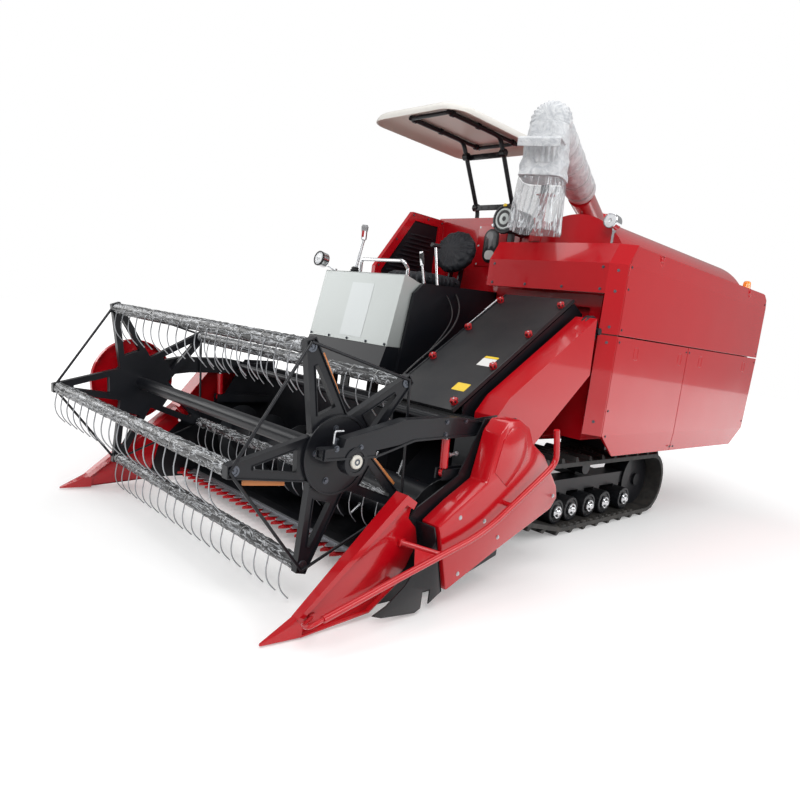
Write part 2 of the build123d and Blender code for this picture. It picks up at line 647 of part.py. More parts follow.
def make_grain_tank():
    """Grain tank with a sloping floor, a window at the front and the unloading auger's collar on top."""
    with BuildPart() as tank:
        with BuildSketch(Plane(origin=(0, TIPS + 2960, 0), x_dir=(1, 0, 0), z_dir=(0, -1, 0))) as shape:
            with BuildLine():
                Polyline((-1040, 1150), (-1040, 2200), (-1000, 2240), (-30, 2240), (-30, 1150), (-330, 700),
                         (-700, 700), close=True)
            make_face()
        extrude(shape.sketch, amount=-2060)
        block((-120, -70), (2950, 2975), (1980, 2130), Mode.SUBTRACT)
        rod(at(TURRET_X, TURRET_BACK, 2230), at(TURRET_X, TURRET_BACK, 2300), 150)
    save(tank, "grain_tank")


def make_radiator_screen():
    """Slatted screen of the radiator, in the right side beside the engine's bonnet."""
    with BuildPart() as screen:
        block((-1010, -985), (2230, 2900), (990, 1540))
        block((-1012, -991), (2260, 2870), (1020, 1510), Mode.SUBTRACT)
        with Locations(*[at(-1000, 2565, 1040 + 30 * number) for number in range(16)]):
            Box(14, 612, 5)
    save(screen, "radiator_screen")


# ---------------------------------------------------------------- operator's place

def make_platform():
    """Floor of the operator's place on its frame, the console's base, the wall at the left and the step."""
    with BuildPart() as platform:
        block((-960, -30), (1560, 2950), (930, 970))
        for x in ((-400, -340), (-860, -800)):
            block(x, (1780, 1840), (FRAME_TOP, 930))
            block(x, (2860, 2920), (FRAME_TOP, 930))
        side_plate(-55, -30, ((1700, 970), (1770, 1500), (1850, 1575), (2900, 1625), (2900, 970)))
        block((-400, -340), (1760, 2900), (FRAME_TOP, FRAME_TOP + 40))
        block((-1060, -960), (1900, 2100), (600, 620))
        for back in (1900, 2085):
            block((-1060, -960), (back, back + 15), (600, 970))
        side_plate(-900, -60, ((1540, 935), (1600, 1125), (1720, 1125), (1720, 960), (1560, 960), (1560, 935)))
    save(platform, "operator_platform")


def make_console():
    """Pale upper housing of the front console, leaning back as it rises."""
    with BuildPart() as console:
        side_plate(-900, -60, ((1600, 1128), (1690, 1615), (1850, 1570), (1780, 1128)))
        fillet(console.edges().filter_by(Axis.X).group_by(Axis.Z)[-1], 12)
        for x, back, radius in CONSOLE_SOCKETS:
            rod(at(x, back, CONSOLE_SEAT), at(x, back, CONSOLE_SEAT + 90), radius, Mode.SUBTRACT)
    save(console, "console")


def make_seat():
    """Engine bonnet with the bracket of the round seat back, the back itself and the cushion."""
    middle = SEAT_X
    with BuildPart() as bonnet:
        block((-930, -60), (2180, 2930), (975, 1560))
        block((middle - 180, middle + 180), (2240, 2700), (1560, 1590))
        for x in (middle - 60, middle + 45):
            side_plate(x, x + 15, ((2635, 1580), (2690, 1580), (2715, 1800), (2677, 1800)))
    save(bonnet, "engine_bonnet")
    with BuildPart() as cushion:
        block((middle - 230, middle + 230), (2100, 2560), (1592, 1690))
        fillet(cushion.edges().filter_by(Axis.Z), 60)
    save(cushion, "seat_cushion")
    with BuildPart() as back:
        tilt = Plane(origin=at(middle, 2600, 1900), x_dir=(1, 0, 0), z_dir=(0, -1, 0.2))
        with BuildSketch(tilt) as disc:
            Ellipse(225, 205)
        extrude(disc.sketch, amount=-95)
    save(back, "seat_back")


def make_side_guard():
    """Guard on the operator's right: a red frame round a black louvred sheet."""
    outline = ((2200, 975), (2200, 1720), (2550, 2215), (2940, 2215), (2940, 975))
    hole = ((2270, 1560), (2270, 1700), (2585, 2150), (2880, 2150), (2880, 1560))
    with BuildPart() as frame:
        side_plate(-975, -935, outline)
        side_plate(-980, -930, hole, Mode.SUBTRACT)
    save(frame, "side_guard")
    with BuildPart() as sheet:
        side_plate(-958, -950, hole)
    save(sheet, "side_guard_sheet")


def make_handrail():
    """Bright handrail above the console."""
    with BuildPart() as rail:
        left, right = CONSOLE_SOCKETS[:2]
        bent_tube((at(left[0], left[1], CONSOLE_SEAT), at(left[0], left[1], 1705),
                   at(right[0], left[1], 1705), at(right[0], right[1], 1660),
                   at(right[0], right[1], CONSOLE_SEAT)), 24, left[2])
    save(rail, "handrail")


def make_levers():
    """Steering lever on the console and the two drive levers at the operator's left."""
    with BuildPart() as levers:
        x, back, radius = CONSOLE_SOCKETS[2]
        rod(at(x, back, CONSOLE_SEAT), at(x, back, 1630), radius)
        rod(at(x, back, 1625), at(-600, 1760, 1850), 9)
        rod(at(-600, 1760, 1850), at(-590, 1750, 1930), 20)
        rod(at(-100, 1930, 1560), at(-110, 1890, 1700), 8)
        rod(at(-110, 1890, 1700), at(-115, 1870, 1790), 14)
        rod(at(-100, 2060, 1570), at(-130, 2020, 1850), 9)
        rod(at(-130, 1980, 1855), at(-130, 2060, 1855), 14)
        block((-150, -56), (1860, 2120), (1545, 1575))
    save(levers, "levers")


def make_work_lamps():
    """Round work lamps: one on a stalk at the console's corner, one on a bracket before the hood."""
    with BuildPart() as lamps:
        x, back, radius = CONSOLE_SOCKETS[3]
        rod(at(x, back, CONSOLE_SEAT), at(x, back, 1628), radius)
        rod(at(x, back, 1612), at(-960, 1690, 1660), radius)
        rod(at(-960, 1655, 1690), at(-960, 1710, 1680), 55)
        rod(at(820, 2650, 2137), at(820, 2712, 2133), 50)
        block((812, 828), (2705, 2720), (2000, 2100))
    save(lamps, "work_lamps")


def make_canopy():
    """Sun canopy: a shallow moulded roof on a two-post frame that leans forward from the tank."""
    low, high, front, rear = -960, -80, 1970, 3120
    with BuildPart() as roof:
        rim = Plane(origin=at((low + high) / 2, (front + rear) / 2, CANOPY_Z))
        with BuildSketch(rim) as lower:
            RectangleRounded(high - low, rear - front, 60)
        extrude(lower.sketch, amount=24)
        with BuildSketch(rim.offset(24)) as edge:
            RectangleRounded(high - low, rear - front, 60)
        with BuildSketch(rim.offset(78)) as crown:
            RectangleRounded(high - low - 200, rear - front - 220, 60)
        loft(edge.sketch + crown.sketch)
        with BuildSketch(rim) as inside:
            RectangleRounded(high - low - 24, rear - front - 24, 48)
        extrude(inside.sketch, amount=16, mode=Mode.SUBTRACT)
    save(roof, "canopy")
    with BuildPart() as frame:
        for x in (CANOPY_X - 190, CANOPY_X + 190):
            rod(at(x, 3080, 2243), at(x, 3080, 2300), 17)
            rod(at(x, 3080, 2300), at(x, 2790, CANOPY_Z - 20), 17)
            rod(at(x, 2790, CANOPY_Z - 18), at(x, 2150, CANOPY_Z - 18), 15)
            rod(at(x, 2790, CANOPY_Z - 18), at(x, 3000, CANOPY_Z - 18), 15)
            block((x - 40, x + 40), (3040, 3120), (2240, 2252))
        for back, z in ((3060, 2335), (2835, 2690), (2150, CANOPY_Z - 18), (3000, CANOPY_Z - 18)):
            cross_rod((CANOPY_X - 190, CANOPY_X + 190), back, z, 14)
    save(frame, "canopy_frame")


def make_deck_fittings():
    """Air cleaner and warning beacon on the roof."""
    with BuildPart() as cleaner:
        rod(at(-85, 2700, 2170), at(-85, 2940, 2170), 95)
        rod(at(-85, 2680, 2170), at(-85, 2700, 2170), 70)
        block((-105, -65), (2780, 2820), (1950, 2085))
    save(cleaner, "air_cleaner")
    with BuildPart() as beacon:
        rod(at(945, 4980, BODY_TOP - 1), at(945, 4980, 2060), 38)
    save(beacon, "beacon")


# ---------------------------------------------------------------- unloading auger

def tube_point(share, lift=0):
    """Point of the unloading tube's axis, as a share of the way from the turret to the spout."""
    return at(TURRET_X + (SPOUT_X - TURRET_X) * share, TURRET_BACK + (SPOUT_BACK - TURRET_BACK) * share,
              TUBE_Z + TUBE_RISE * share + lift)


TUBE_LEVEL = Vector(SPOUT_X - TURRET_X, SPOUT_BACK - TURRET_BACK, 0).normalized()
TUBE_ACROSS = Vector(-TUBE_LEVEL.Y, TUBE_LEVEL.X, 0)


def along_tube(reach, aside, z):
    """Point at a level distance from the turret towards the spout, and to one side of the tube."""
    return at(TURRET_X, TURRET_BACK, z) + TUBE_LEVEL * reach + TUBE_ACROSS * aside


def make_unloader():
    """Turret with its knuckle, and the swinging tube with cheeks and a flange."""
    along = (tube_point(1) - tube_point(0)).normalized()
    with BuildPart() as turret:
        rod(at(TURRET_X, TURRET_BACK, 2306), at(TURRET_X, TURRET_BACK, 2330), 140)
        rod(at(TURRET_X, TURRET_BACK, 2306), at(TURRET_X, TURRET_BACK, TUBE_Z), 100)
        rod(along_tube(0, -104, TUBE_Z), along_tube(0, 104, TUBE_Z), 138)
        rod(along_tube(0, -126, TUBE_Z), along_tube(0, 126, TUBE_Z), PIN)
        for aside in (-40, 28):
            start = along_tube(60, aside, UNLOAD_BASE_Z)
            with BuildSketch(Plane(origin=start, x_dir=TUBE_LEVEL, z_dir=TUBE_ACROSS)) as ear:
                Rectangle(130, 24, align=(Align.MIN, Align.CENTER))
            extrude(ear.sketch, amount=12)
        rod(along_tube(UNLOAD_FOOT, -40, UNLOAD_BASE_Z), along_tube(UNLOAD_FOOT, 40, UNLOAD_BASE_Z), PIN)
    save(turret, "unloading_turret")
    with BuildPart() as tube:
        rod(tube_point(0) + along * 150, tube_point(0) + along * 170, 122)
        rod(tube_point(0) + along * 150, tube_point(WRAP_SHARE), TUBE_RADIUS)
        for aside in (-122, 112):
            cheek = Plane(origin=along_tube(0, aside, TUBE_Z), x_dir=along, z_dir=TUBE_ACROSS)
            with BuildSketch(cheek) as outline:
                with BuildLine():
                    Polyline((0, -50), (170, -80), (170, 80), (0, 50), close=True)
                make_face()
                Circle(50)
                Circle(PIN + 0.3, mode=Mode.SUBTRACT)
            extrude(outline.sketch, amount=10)
        for aside in (-28, 18):
            start = along_tube(UNLOAD_REACH - 40, aside, UNLOAD_EYE_Z)
            with BuildSketch(Plane(origin=start, x_dir=TUBE_LEVEL, z_dir=TUBE_ACROSS)) as ear:
                Rectangle(80, 80, align=(Align.MIN, Align.MAX))
                with Locations((40, 0)):
                    Circle(22)
            extrude(ear.sketch, amount=10)
        rod(along_tube(UNLOAD_REACH, -28, UNLOAD_EYE_Z), along_tube(UNLOAD_REACH, 28, UNLOAD_EYE_Z), PIN)
    save(tube, "unloading_tube")


def make_spout():
    """Foam wrapped round the spout and the front of the tube, with the clear film under it."""
    along = (tube_point(1) - tube_point(0)).normalized()
    with BuildPart() as wrap:
        rod(tube_point(WRAP_SHARE), tube_point(1), WRAP_RADIUS)
        rod(tube_point(1) - along * 170, tube_point(1) + along * 150, 185)
        spout = Plane(origin=tube_point(1, -100), x_dir=TUBE_ACROSS, z_dir=(0, 0, 1))
        with BuildSketch(spout) as top:
            RectangleRounded(330, 300, 60)
        with BuildSketch(spout.offset(-330)) as bottom:
            RectangleRounded(300, 230, 80)
        loft(top.sketch + bottom.sketch)
    save(wrap, "spout_wrap")
    with BuildPart() as film:
        hem = Plane(origin=(tube_point(1).X, tube_point(1).Y, BODY_TOP + 14), x_dir=TUBE_ACROSS, z_dir=(0, 0, 1))
        with BuildSketch(hem) as ring:
            RectangleRounded(300, 230, 80)
            RectangleRounded(290, 220, 75, mode=Mode.SUBTRACT)
        extrude(ring.sketch, amount=tube_point(1).Z - 432 - BODY_TOP - 14)
    save(film, "spout_film")


UNDERCARRIAGE = (("track_left", "undercarriage_left", 1), ("track_right", "undercarriage_right", -1))
for track_label, carriage_label, side in UNDERCARRIAGE:
    make_track(track_label, side)
    make_undercarriage(carriage_label, side)
make_main_frame()
make_header_platform()
make_dividers()
make_side_fairing()
make_side_cover()
make_guard_rail()
make_knife_guards()
make_knife()
make_header_auger()
make_feeder()
make_reel_frame()
for number in range(REEL_ARMS):
    make_tine_bar(number)
make_reel_arms()
make_reel_drive_guard()
for label, side in (("left", 1), ("right", -1)):
    x = REEL_LIFT_X[side]
    make_cylinder(f"reel_cylinder_{label}", f"reel_cylinder_rod_{label}", at(x, *REEL_LIFT_BASE),
                  at(x, *REEL_LIFT_EYE), Vector(1, 0, 0), 170, 20, 24, EYE_PLAY)
make_cylinder("header_cylinder", "header_cylinder_rod", at(LIFT_X, *LIFT_BASE), at(LIFT_X, *LIFT_EYE),
              Vector(1, 0, 0), 640, 32, 60, EYE_PLAY)
make_cylinder("unloader_cylinder", "unloader_cylinder_rod", along_tube(UNLOAD_FOOT, 0, UNLOAD_BASE_Z),
              along_tube(UNLOAD_REACH, 0, UNLOAD_EYE_Z), TUBE_ACROSS, 470, 20, 24, UNLOAD_PLAY)
make_housing()
make_hood()
make_deck()
make_corner_panel()
make_side_doors()
make_rear_cover()
make_grain_tank()
make_radiator_screen()
make_platform()
make_console()
make_seat()
make_side_guard()
make_handrail()
make_levers()
make_work_lamps()
make_canopy()
make_deck_fittings()
make_unloader()
make_spout()
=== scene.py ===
"""Finish, soft goods and small fittings of a tracked grain combine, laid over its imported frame."""
import json
import math

import bpy
from mathutils import Matrix, Vector, noise


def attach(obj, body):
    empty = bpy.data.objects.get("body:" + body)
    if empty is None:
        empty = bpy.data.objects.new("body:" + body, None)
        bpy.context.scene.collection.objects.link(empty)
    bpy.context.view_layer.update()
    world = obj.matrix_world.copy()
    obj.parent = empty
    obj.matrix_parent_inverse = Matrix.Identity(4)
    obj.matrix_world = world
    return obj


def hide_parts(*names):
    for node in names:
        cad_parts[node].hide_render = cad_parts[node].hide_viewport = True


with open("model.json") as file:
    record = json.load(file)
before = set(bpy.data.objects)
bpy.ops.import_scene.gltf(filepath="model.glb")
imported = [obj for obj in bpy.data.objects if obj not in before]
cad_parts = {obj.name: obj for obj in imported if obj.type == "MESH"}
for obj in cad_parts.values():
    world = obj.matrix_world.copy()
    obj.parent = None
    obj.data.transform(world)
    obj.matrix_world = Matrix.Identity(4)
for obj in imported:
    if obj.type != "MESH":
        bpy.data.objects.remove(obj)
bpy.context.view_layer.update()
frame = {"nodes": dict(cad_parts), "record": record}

bl_info = {
    "name": "Combine Harvester Finish",
    "version": (1, 0, 0),
    "blender": (4, 5, 0),
    "location": "3D View > Sidebar > Harvester",
    "description": "Adds finishes, soft goods and fittings to the combine harvester's frame",
    "category": "Object",
}

X, Y, Z = Vector((1, 0, 0)), Vector((0, 1, 0)), Vector((0, 0, 1))
TIPS_AHEAD = 2568             # how far the divider tips stand before the frame's middle, in millimetres


# ---------------------------------------------------------------- settings

class HARVESTER_PG_colours(bpy.types.PropertyGroup):
    """Colours that a user would change."""

    body: bpy.props.FloatVectorProperty(
        name="Body paint", description="Red of the doors, hood and fairings", subtype="COLOR",
        default=(0.50, 0.002, 0.008), min=0, max=1)
    black: bpy.props.FloatVectorProperty(
        name="Black paint", description="Black of the frame, reel and feeder", subtype="COLOR",
        default=(0.006, 0.007, 0.010), min=0, max=1)
    console: bpy.props.FloatVectorProperty(
        name="Console paint", description="Pale metallic paint of the console", subtype="COLOR",
        default=(0.44, 0.47, 0.46), min=0, max=1)
    canopy: bpy.props.FloatVectorProperty(
        name="Canopy", description="Moulded roof over the operator", subtype="COLOR",
        default=(0.66, 0.64, 0.60), min=0, max=1)
    lens: bpy.props.FloatVectorProperty(
        name="Beacon lens", description="Amber of the beacon", subtype="COLOR",
        default=(0.95, 0.28, 0.01), min=0, max=1)


class HARVESTER_PG_sizes(bpy.types.PropertyGroup):
    """Sizes that a user would change."""

    film_radius: bpy.props.FloatProperty(
        name="Film radius", description="Radius of the packing film round a tine bar",
        default=0.036, min=0.022, max=0.050, unit="LENGTH")
    tine_wire: bpy.props.FloatProperty(
        name="Tine wire", description="Radius of the spring wire of a tine",
        default=0.0032, min=0.002, max=0.005, unit="LENGTH")
    bolt: bpy.props.FloatProperty(
        name="Bolt head", description="Width across a small bolt head",
        default=0.016, min=0.008, max=0.03, unit="LENGTH")
    camera_height: bpy.props.FloatProperty(
        name="Camera height", description="Height of the camera over the floor",
        default=1.303, min=0.2, max=3, unit="LENGTH")


# ---------------------------------------------------------------- node helpers

def add_node(tree, kind, inputs=None, **settings):
    """New node with its settings and inputs, where an input is a value or another node's socket."""
    node = tree.nodes.new(kind)
    for key, value in settings.items():
        setattr(node, key, value)
    for key, value in (inputs or {}).items():
        if isinstance(value, bpy.types.NodeSocket):
            tree.links.new(value, node.inputs[key])
        else:
            node.inputs[key].default_value = value
    return node


def blend_colour(tree, factor, first, second):
    """Colour between two, by a mask."""
    mix = add_node(tree, "ShaderNodeMix", {0: factor, 6: first, 7: second}, data_type="RGBA")
    return mix.outputs[2]


def new_group(name, inputs, outputs):
    """Shader node group with value inputs and outputs, and its two end nodes."""
    group = bpy.data.node_groups.new(name, "ShaderNodeTree")
    for label, default in inputs:
        socket = group.interface.new_socket(name=label, in_out="INPUT", socket_type="NodeSocketFloat")
        socket.default_value = default
    for label, kind in outputs:
        group.interface.new_socket(name=label, in_out="OUTPUT", socket_type=kind)
    return group, group.nodes.new("NodeGroupInput"), group.nodes.new("NodeGroupOutput")


def dust_group():
    """Mask of dust: patchy all over, and thicker towards the ground."""
    group, start, end = new_group(
        "Dust", (("Amount", 0.3), ("Top", 0.6), ("Scale", 6.0)), (("Mask", "NodeSocketFloat"),))
    where = add_node(group, "ShaderNodeTexCoord").outputs["Object"]
    height = add_node(group, "ShaderNodeSeparateXYZ", {0: where}).outputs["Z"]
    low = add_node(group, "ShaderNodeMapRange",
                   {"Value": height, "From Min": 0.0, "From Max": start.outputs["Top"],
                    "To Min": 1.0, "To Max": 0.25})
    patches = add_node(group, "ShaderNodeTexNoise", {"Vector": where, "Scale": start.outputs["Scale"],
                                                     "Detail": 6.0, "Roughness": 0.7})
    spread = add_node(group, "ShaderNodeMapRange",
                      {"Value": patches.outputs["Fac"], "From Min": 0.35, "From Max": 0.75})
    both = add_node(group, "ShaderNodeMath", {0: low.outputs[0], 1: spread.outputs[0]},
                    operation="MULTIPLY")
    mask = add_node(group, "ShaderNodeMath", {0: both.outputs[0], 1: start.outputs["Amount"]},
                    operation="MULTIPLY", use_clamp=True)
    group.links.new(mask.outputs[0], end.inputs["Mask"])
    return group


def surface_group():
    """Normal of a painted or moulded surface: slow waves of the sheet and a fine grain."""
    group, start, end = new_group(
        "Surface", (("Wave", 0.1), ("Wave Scale", 2.0), ("Grain", 0.05), ("Grain Scale", 300.0)),
        (("Normal", "NodeSocketVector"),))
    where = add_node(group, "ShaderNodeTexCoord").outputs["Object"]
    wave = add_node(group, "ShaderNodeTexNoise",
                    {"Vector": where, "Scale": start.outputs["Wave Scale"], "Detail": 1.0})
    slow = add_node(group, "ShaderNodeBump", {"Strength": start.outputs["Wave"], "Distance": 0.05,
                                              "Height": wave.outputs["Fac"]})
    grain = add_node(group, "ShaderNodeTexNoise",
                     {"Vector": where, "Scale": start.outputs["Grain Scale"], "Detail": 2.0})
    fine = add_node(group, "ShaderNodeBump", {"Strength": start.outputs["Grain"], "Distance": 0.001,
                                              "Height": grain.outputs["Fac"],
                                              "Normal": slow.outputs["Normal"]})
    group.links.new(fine.outputs["Normal"], end.inputs["Normal"])
    return group


def scuff_group():
    """Mask of small scratches and rubbed spots."""
    group, start, end = new_group("Scuffs", (("Amount", 0.2), ("Scale", 40.0)),
                                  (("Mask", "NodeSocketFloat"),))
    where = add_node(group, "ShaderNodeTexCoord").outputs["Object"]
    pulled = add_node(group, "ShaderNodeMapping", {"Vector": where, "Scale": (1.0, 0.25, 1.0)})
    streaks = add_node(group, "ShaderNodeTexNoise",
                       {"Vector": pulled.outputs[0], "Scale": start.outputs["Scale"],
                        "Detail": 8.0, "Roughness": 0.8})
    spots = add_node(group, "ShaderNodeMapRange",
                     {"Value": streaks.outputs["Fac"], "From Min": 0.62, "From Max": 0.72})
    mask = add_node(group, "ShaderNodeMath", {0: spots.outputs[0], 1: start.outputs["Amount"]},
                    operation="MULTIPLY", use_clamp=True)
    group.links.new(mask.outputs[0], end.inputs["Mask"])
    return group


GROUPS = {"Dust": dust_group, "Surface": surface_group, "Scuffs": scuff_group}


def use_group(tree, name, **inputs):
    """Places one of the shared node groups, which is built the first time."""
    group = bpy.data.node_groups.get(name) or GROUPS[name]()
    values = {key.replace("_", " "): value for key, value in inputs.items()}
    node = tree.nodes.new("ShaderNodeGroup")
    node.node_tree = group
    for key, value in values.items():
        node.inputs[key].default_value = value
    return node.outputs[0]


def new_material(name):
    """Empty node material, its tree and its Principled shader."""
    made = bpy.data.materials.new(name)
    made.use_nodes = True
    return made, made.node_tree, made.node_tree.nodes["Principled BSDF"]


def wired(tree, shader, **inputs):
    """Sets or links the shader's inputs."""
    for key, value in inputs.items():
        socket = shader.inputs[key.replace("_", " ")]
        if isinstance(value, bpy.types.NodeSocket):
            tree.links.new(value, socket)
        else:
            socket.default_value = value


# ---------------------------------------------------------------- finishes

DUST_ON_PAINT, DUST_ON_METAL, DUST_ON_PLASTIC = (
    (0.30, 0.27, 0.23, 1), (0.26, 0.23, 0.19, 1), (0.28, 0.25, 0.21, 1))


def painted(name, colour, gloss, coat, dust=0.15, dust_top=1.2, wave=0.12, chips=0.1, metal=0.0,
            shine=0.5):
    """Sprayed paint: slight waves and peel, small scuffs, and dust towards the ground."""
    made, tree, shader = new_material(name)
    dusty = use_group(tree, "Dust", Amount=dust, Top=dust_top, Scale=3.0)
    scuffed = use_group(tree, "Scuffs", Amount=chips, Scale=30.0)
    shade = add_node(tree, "ShaderNodeTexNoise", {"Scale": 1.3, "Detail": 2.0})
    tree.links.new(add_node(tree, "ShaderNodeTexCoord").outputs["Object"], shade.inputs["Vector"])
    deep = [c * 0.86 for c in colour]
    base = blend_colour(tree, shade.outputs["Fac"], (*colour, 1), (*deep, 1))
    rubbed = blend_colour(tree, scuffed, base, (*[c * 0.6 + 0.03 for c in colour], 1))
    final = blend_colour(tree, dusty, rubbed, DUST_ON_PAINT)
    rough = add_node(tree, "ShaderNodeMapRange", {"Value": dusty, "To Min": gloss, "To Max": 0.75})
    normal = use_group(tree, "Surface", Wave=wave, Wave_Scale=1.6, Grain=0.06, Grain_Scale=240.0)
    wired(tree, shader, Base_Color=final, Roughness=rough.outputs[0], Normal=normal, Metallic=metal)
    wired(tree, shader, Coat_Weight=coat, Coat_Roughness=0.04, Specular_IOR_Level=shine)
    return made


def plain_metal(name, colour, gloss, brushed=0.3, dust=0.1):
    """Bare or plated metal with a drawn grain and a little dust."""
    made, tree, shader = new_material(name)
    where = add_node(tree, "ShaderNodeTexCoord").outputs["Object"]
    pulled = add_node(tree, "ShaderNodeMapping", {"Vector": where, "Scale": (2.0, 90.0, 90.0)})
    grain = add_node(tree, "ShaderNodeTexNoise", {"Vector": pulled.outputs[0], "Scale": 6.0, "Detail": 4.0})
    rough = add_node(tree, "ShaderNodeMapRange", {"Value": grain.outputs["Fac"], "To Min": gloss,
                                                  "To Max": gloss + brushed * 0.5})
    dusty = use_group(tree, "Dust", Amount=dust, Top=0.8, Scale=8.0)
    final = blend_colour(tree, dusty, (*colour, 1), DUST_ON_METAL)
    normal = use_group(tree, "Surface", Wave=0.02, Wave_Scale=8.0, Grain=0.08, Grain_Scale=500.0)
    wired(tree, shader, Base_Color=final, Roughness=rough.outputs[0], Normal=normal, Metallic=0.95)
    return made


def moulded(name, colour, gloss, grain=0.3, dust=0.12):
    """Moulded plastic or rubber with a fine grain."""
    made, tree, shader = new_material(name)
    dusty = use_group(tree, "Dust", Amount=dust, Top=0.9, Scale=7.0)
    scuffed = use_group(tree, "Scuffs", Amount=0.25, Scale=60.0)
    worn = blend_colour(tree, scuffed, (*colour, 1), (*[c * 0.7 + 0.05 for c in colour], 1))
    final = blend_colour(tree, dusty, worn, DUST_ON_PLASTIC)
    rough = add_node(tree, "ShaderNodeMapRange", {"Value": dusty, "To Min": gloss, "To Max": 0.9})
    normal = use_group(tree, "Surface", Wave=0.05, Wave_Scale=5.0, Grain=grain, Grain_Scale=420.0)
    wired(tree, shader, Base_Color=final, Roughness=rough.outputs[0], Normal=normal)
    return made


def track_rubber(name):
    """Black rubber belt with dusty hollows and a coarse cast grain."""
    made, tree, shader = new_material(name)
    dusty = use_group(tree, "Dust", Amount=0.35, Top=0.5, Scale=14.0)
    final = blend_colour(tree, dusty, (0.014, 0.014, 0.014, 1), (0.14, 0.12, 0.10, 1))
    normal = use_group(tree, "Surface", Wave=0.2, Wave_Scale=12.0, Grain=0.5, Grain_Scale=160.0)
    wired(tree, shader, Base_Color=final, Roughness=0.62, Normal=normal)
    return made


def lens(name, colour):
    """Clear or coloured moulded lens with fine ribs."""
    made, tree, shader = new_material(name)
    where = add_node(tree, "ShaderNodeTexCoord").outputs["Object"]
    ribs = add_node(tree, "ShaderNodeTexWave", {"Vector": where, "Scale": 60.0}, bands_direction="X")
    bump = add_node(tree, "ShaderNodeBump",
                    {"Strength": 0.25, "Distance": 0.002, "Height": ribs.outputs["Fac"]})
    smear = add_node(tree, "ShaderNodeTexNoise", {"Vector": where, "Scale": 30.0, "Detail": 4.0})
    rough = add_node(tree, "ShaderNodeMapRange",
                     {"Value": smear.outputs["Fac"], "To Min": 0.04, "To Max": 0.18})
    wired(tree, shader, Base_Color=(*colour, 1), Roughness=rough.outputs[0], Normal=bump.outputs["Normal"])
    wired(tree, shader, Coat_Weight=0.6)
    return made


def packing_film(name, colour, see_through, crease, stretch, under=0.55, fold_and_highlight_opacity=0.85):
    """Thin clear film, creased and bunched along its stretch, with milky folds whose pale colour is partly
    painted highlight.
    """
    made, tree, shader = new_material(name)
    place = add_node(tree, "ShaderNodeTexCoord").outputs["Object"]
    where = add_node(tree, "ShaderNodeMapping", {"Vector": place, "Scale": stretch}).outputs["Vector"]
    folds = add_node(tree, "ShaderNodeTexNoise", {"Vector": where, "Scale": crease, "Detail": 5.0,
                                                  "Roughness": 0.6, "Distortion": 1.5})
    ridge = add_node(tree, "ShaderNodeMath", {0: folds.outputs["Fac"], 1: 0.5}, operation="SUBTRACT")
    sharp = add_node(tree, "ShaderNodeMath", {0: ridge.outputs[0]}, operation="ABSOLUTE")
    # Pale fold lines: partly milky creases of the film and partly painted highlight streaks.
    milky_fold_and_highlight = add_node(tree, "ShaderNodeMapRange",
                     {"Value": sharp.outputs[0], "From Min": 0.0, "From Max": 0.034,
                      "To Min": 1.0, "To Max": 0.0})
    tint = blend_colour(tree, milky_fold_and_highlight.outputs[0], (*[c * under for c in colour], 1), (*colour, 1))
    cover = add_node(tree, "ShaderNodeMapRange",
                     {"Value": milky_fold_and_highlight.outputs[0], "To Min": 1 - see_through, "To Max": fold_and_highlight_opacity})
    bump = add_node(tree, "ShaderNodeBump",
                    {"Strength": 0.8, "Distance": 0.004, "Height": sharp.outputs[0]})
    wired(tree, shader, Base_Color=tint, Roughness=0.16, Alpha=cover.outputs[0],
          Normal=bump.outputs["Normal"])
    return made


def foam_wrap(name):
    """Thin white foam sheet: soft, matt, creased where it is gathered, with painted shade that darkens the
    hollows of its folds.
    """
    made, tree, shader = new_material(name)
    where = add_node(tree, "ShaderNodeTexCoord").outputs["Object"]
    folds = add_node(tree, "ShaderNodeTexNoise", {"Vector": where, "Scale": 14.0, "Detail": 6.0,
                                                  "Roughness": 0.65, "Distortion": 2.0})
    cells = add_node(tree, "ShaderNodeTexVoronoi", {"Vector": where, "Scale": 260.0})
    soft = add_node(tree, "ShaderNodeBump",
                    {"Strength": 0.7, "Distance": 0.012, "Height": folds.outputs["Fac"]})
    fine = add_node(tree, "ShaderNodeBump",
                    {"Strength": 0.25, "Distance": 0.001, "Height": cells.outputs["Distance"],
                     "Normal": soft.outputs["Normal"]})
    # Painted shade: the white turns grey in the hollows of the folds.
    painted_crease_shade = add_node(tree, "ShaderNodeMapRange",
                   {"Value": folds.outputs["Fac"], "From Min": 0.3, "From Max": 0.7})
    tint = blend_colour(tree, painted_crease_shade.outputs[0], (0.42, 0.44, 0.47, 1), (0.72, 0.73, 0.74, 1))
    wired(tree, shader, Base_Color=tint, Roughness=0.55, Normal=fine.outputs["Normal"])
    wired(tree, shader, Subsurface_Weight=0.15, Subsurface_Radius=(0.02, 0.02, 0.02))
    return made


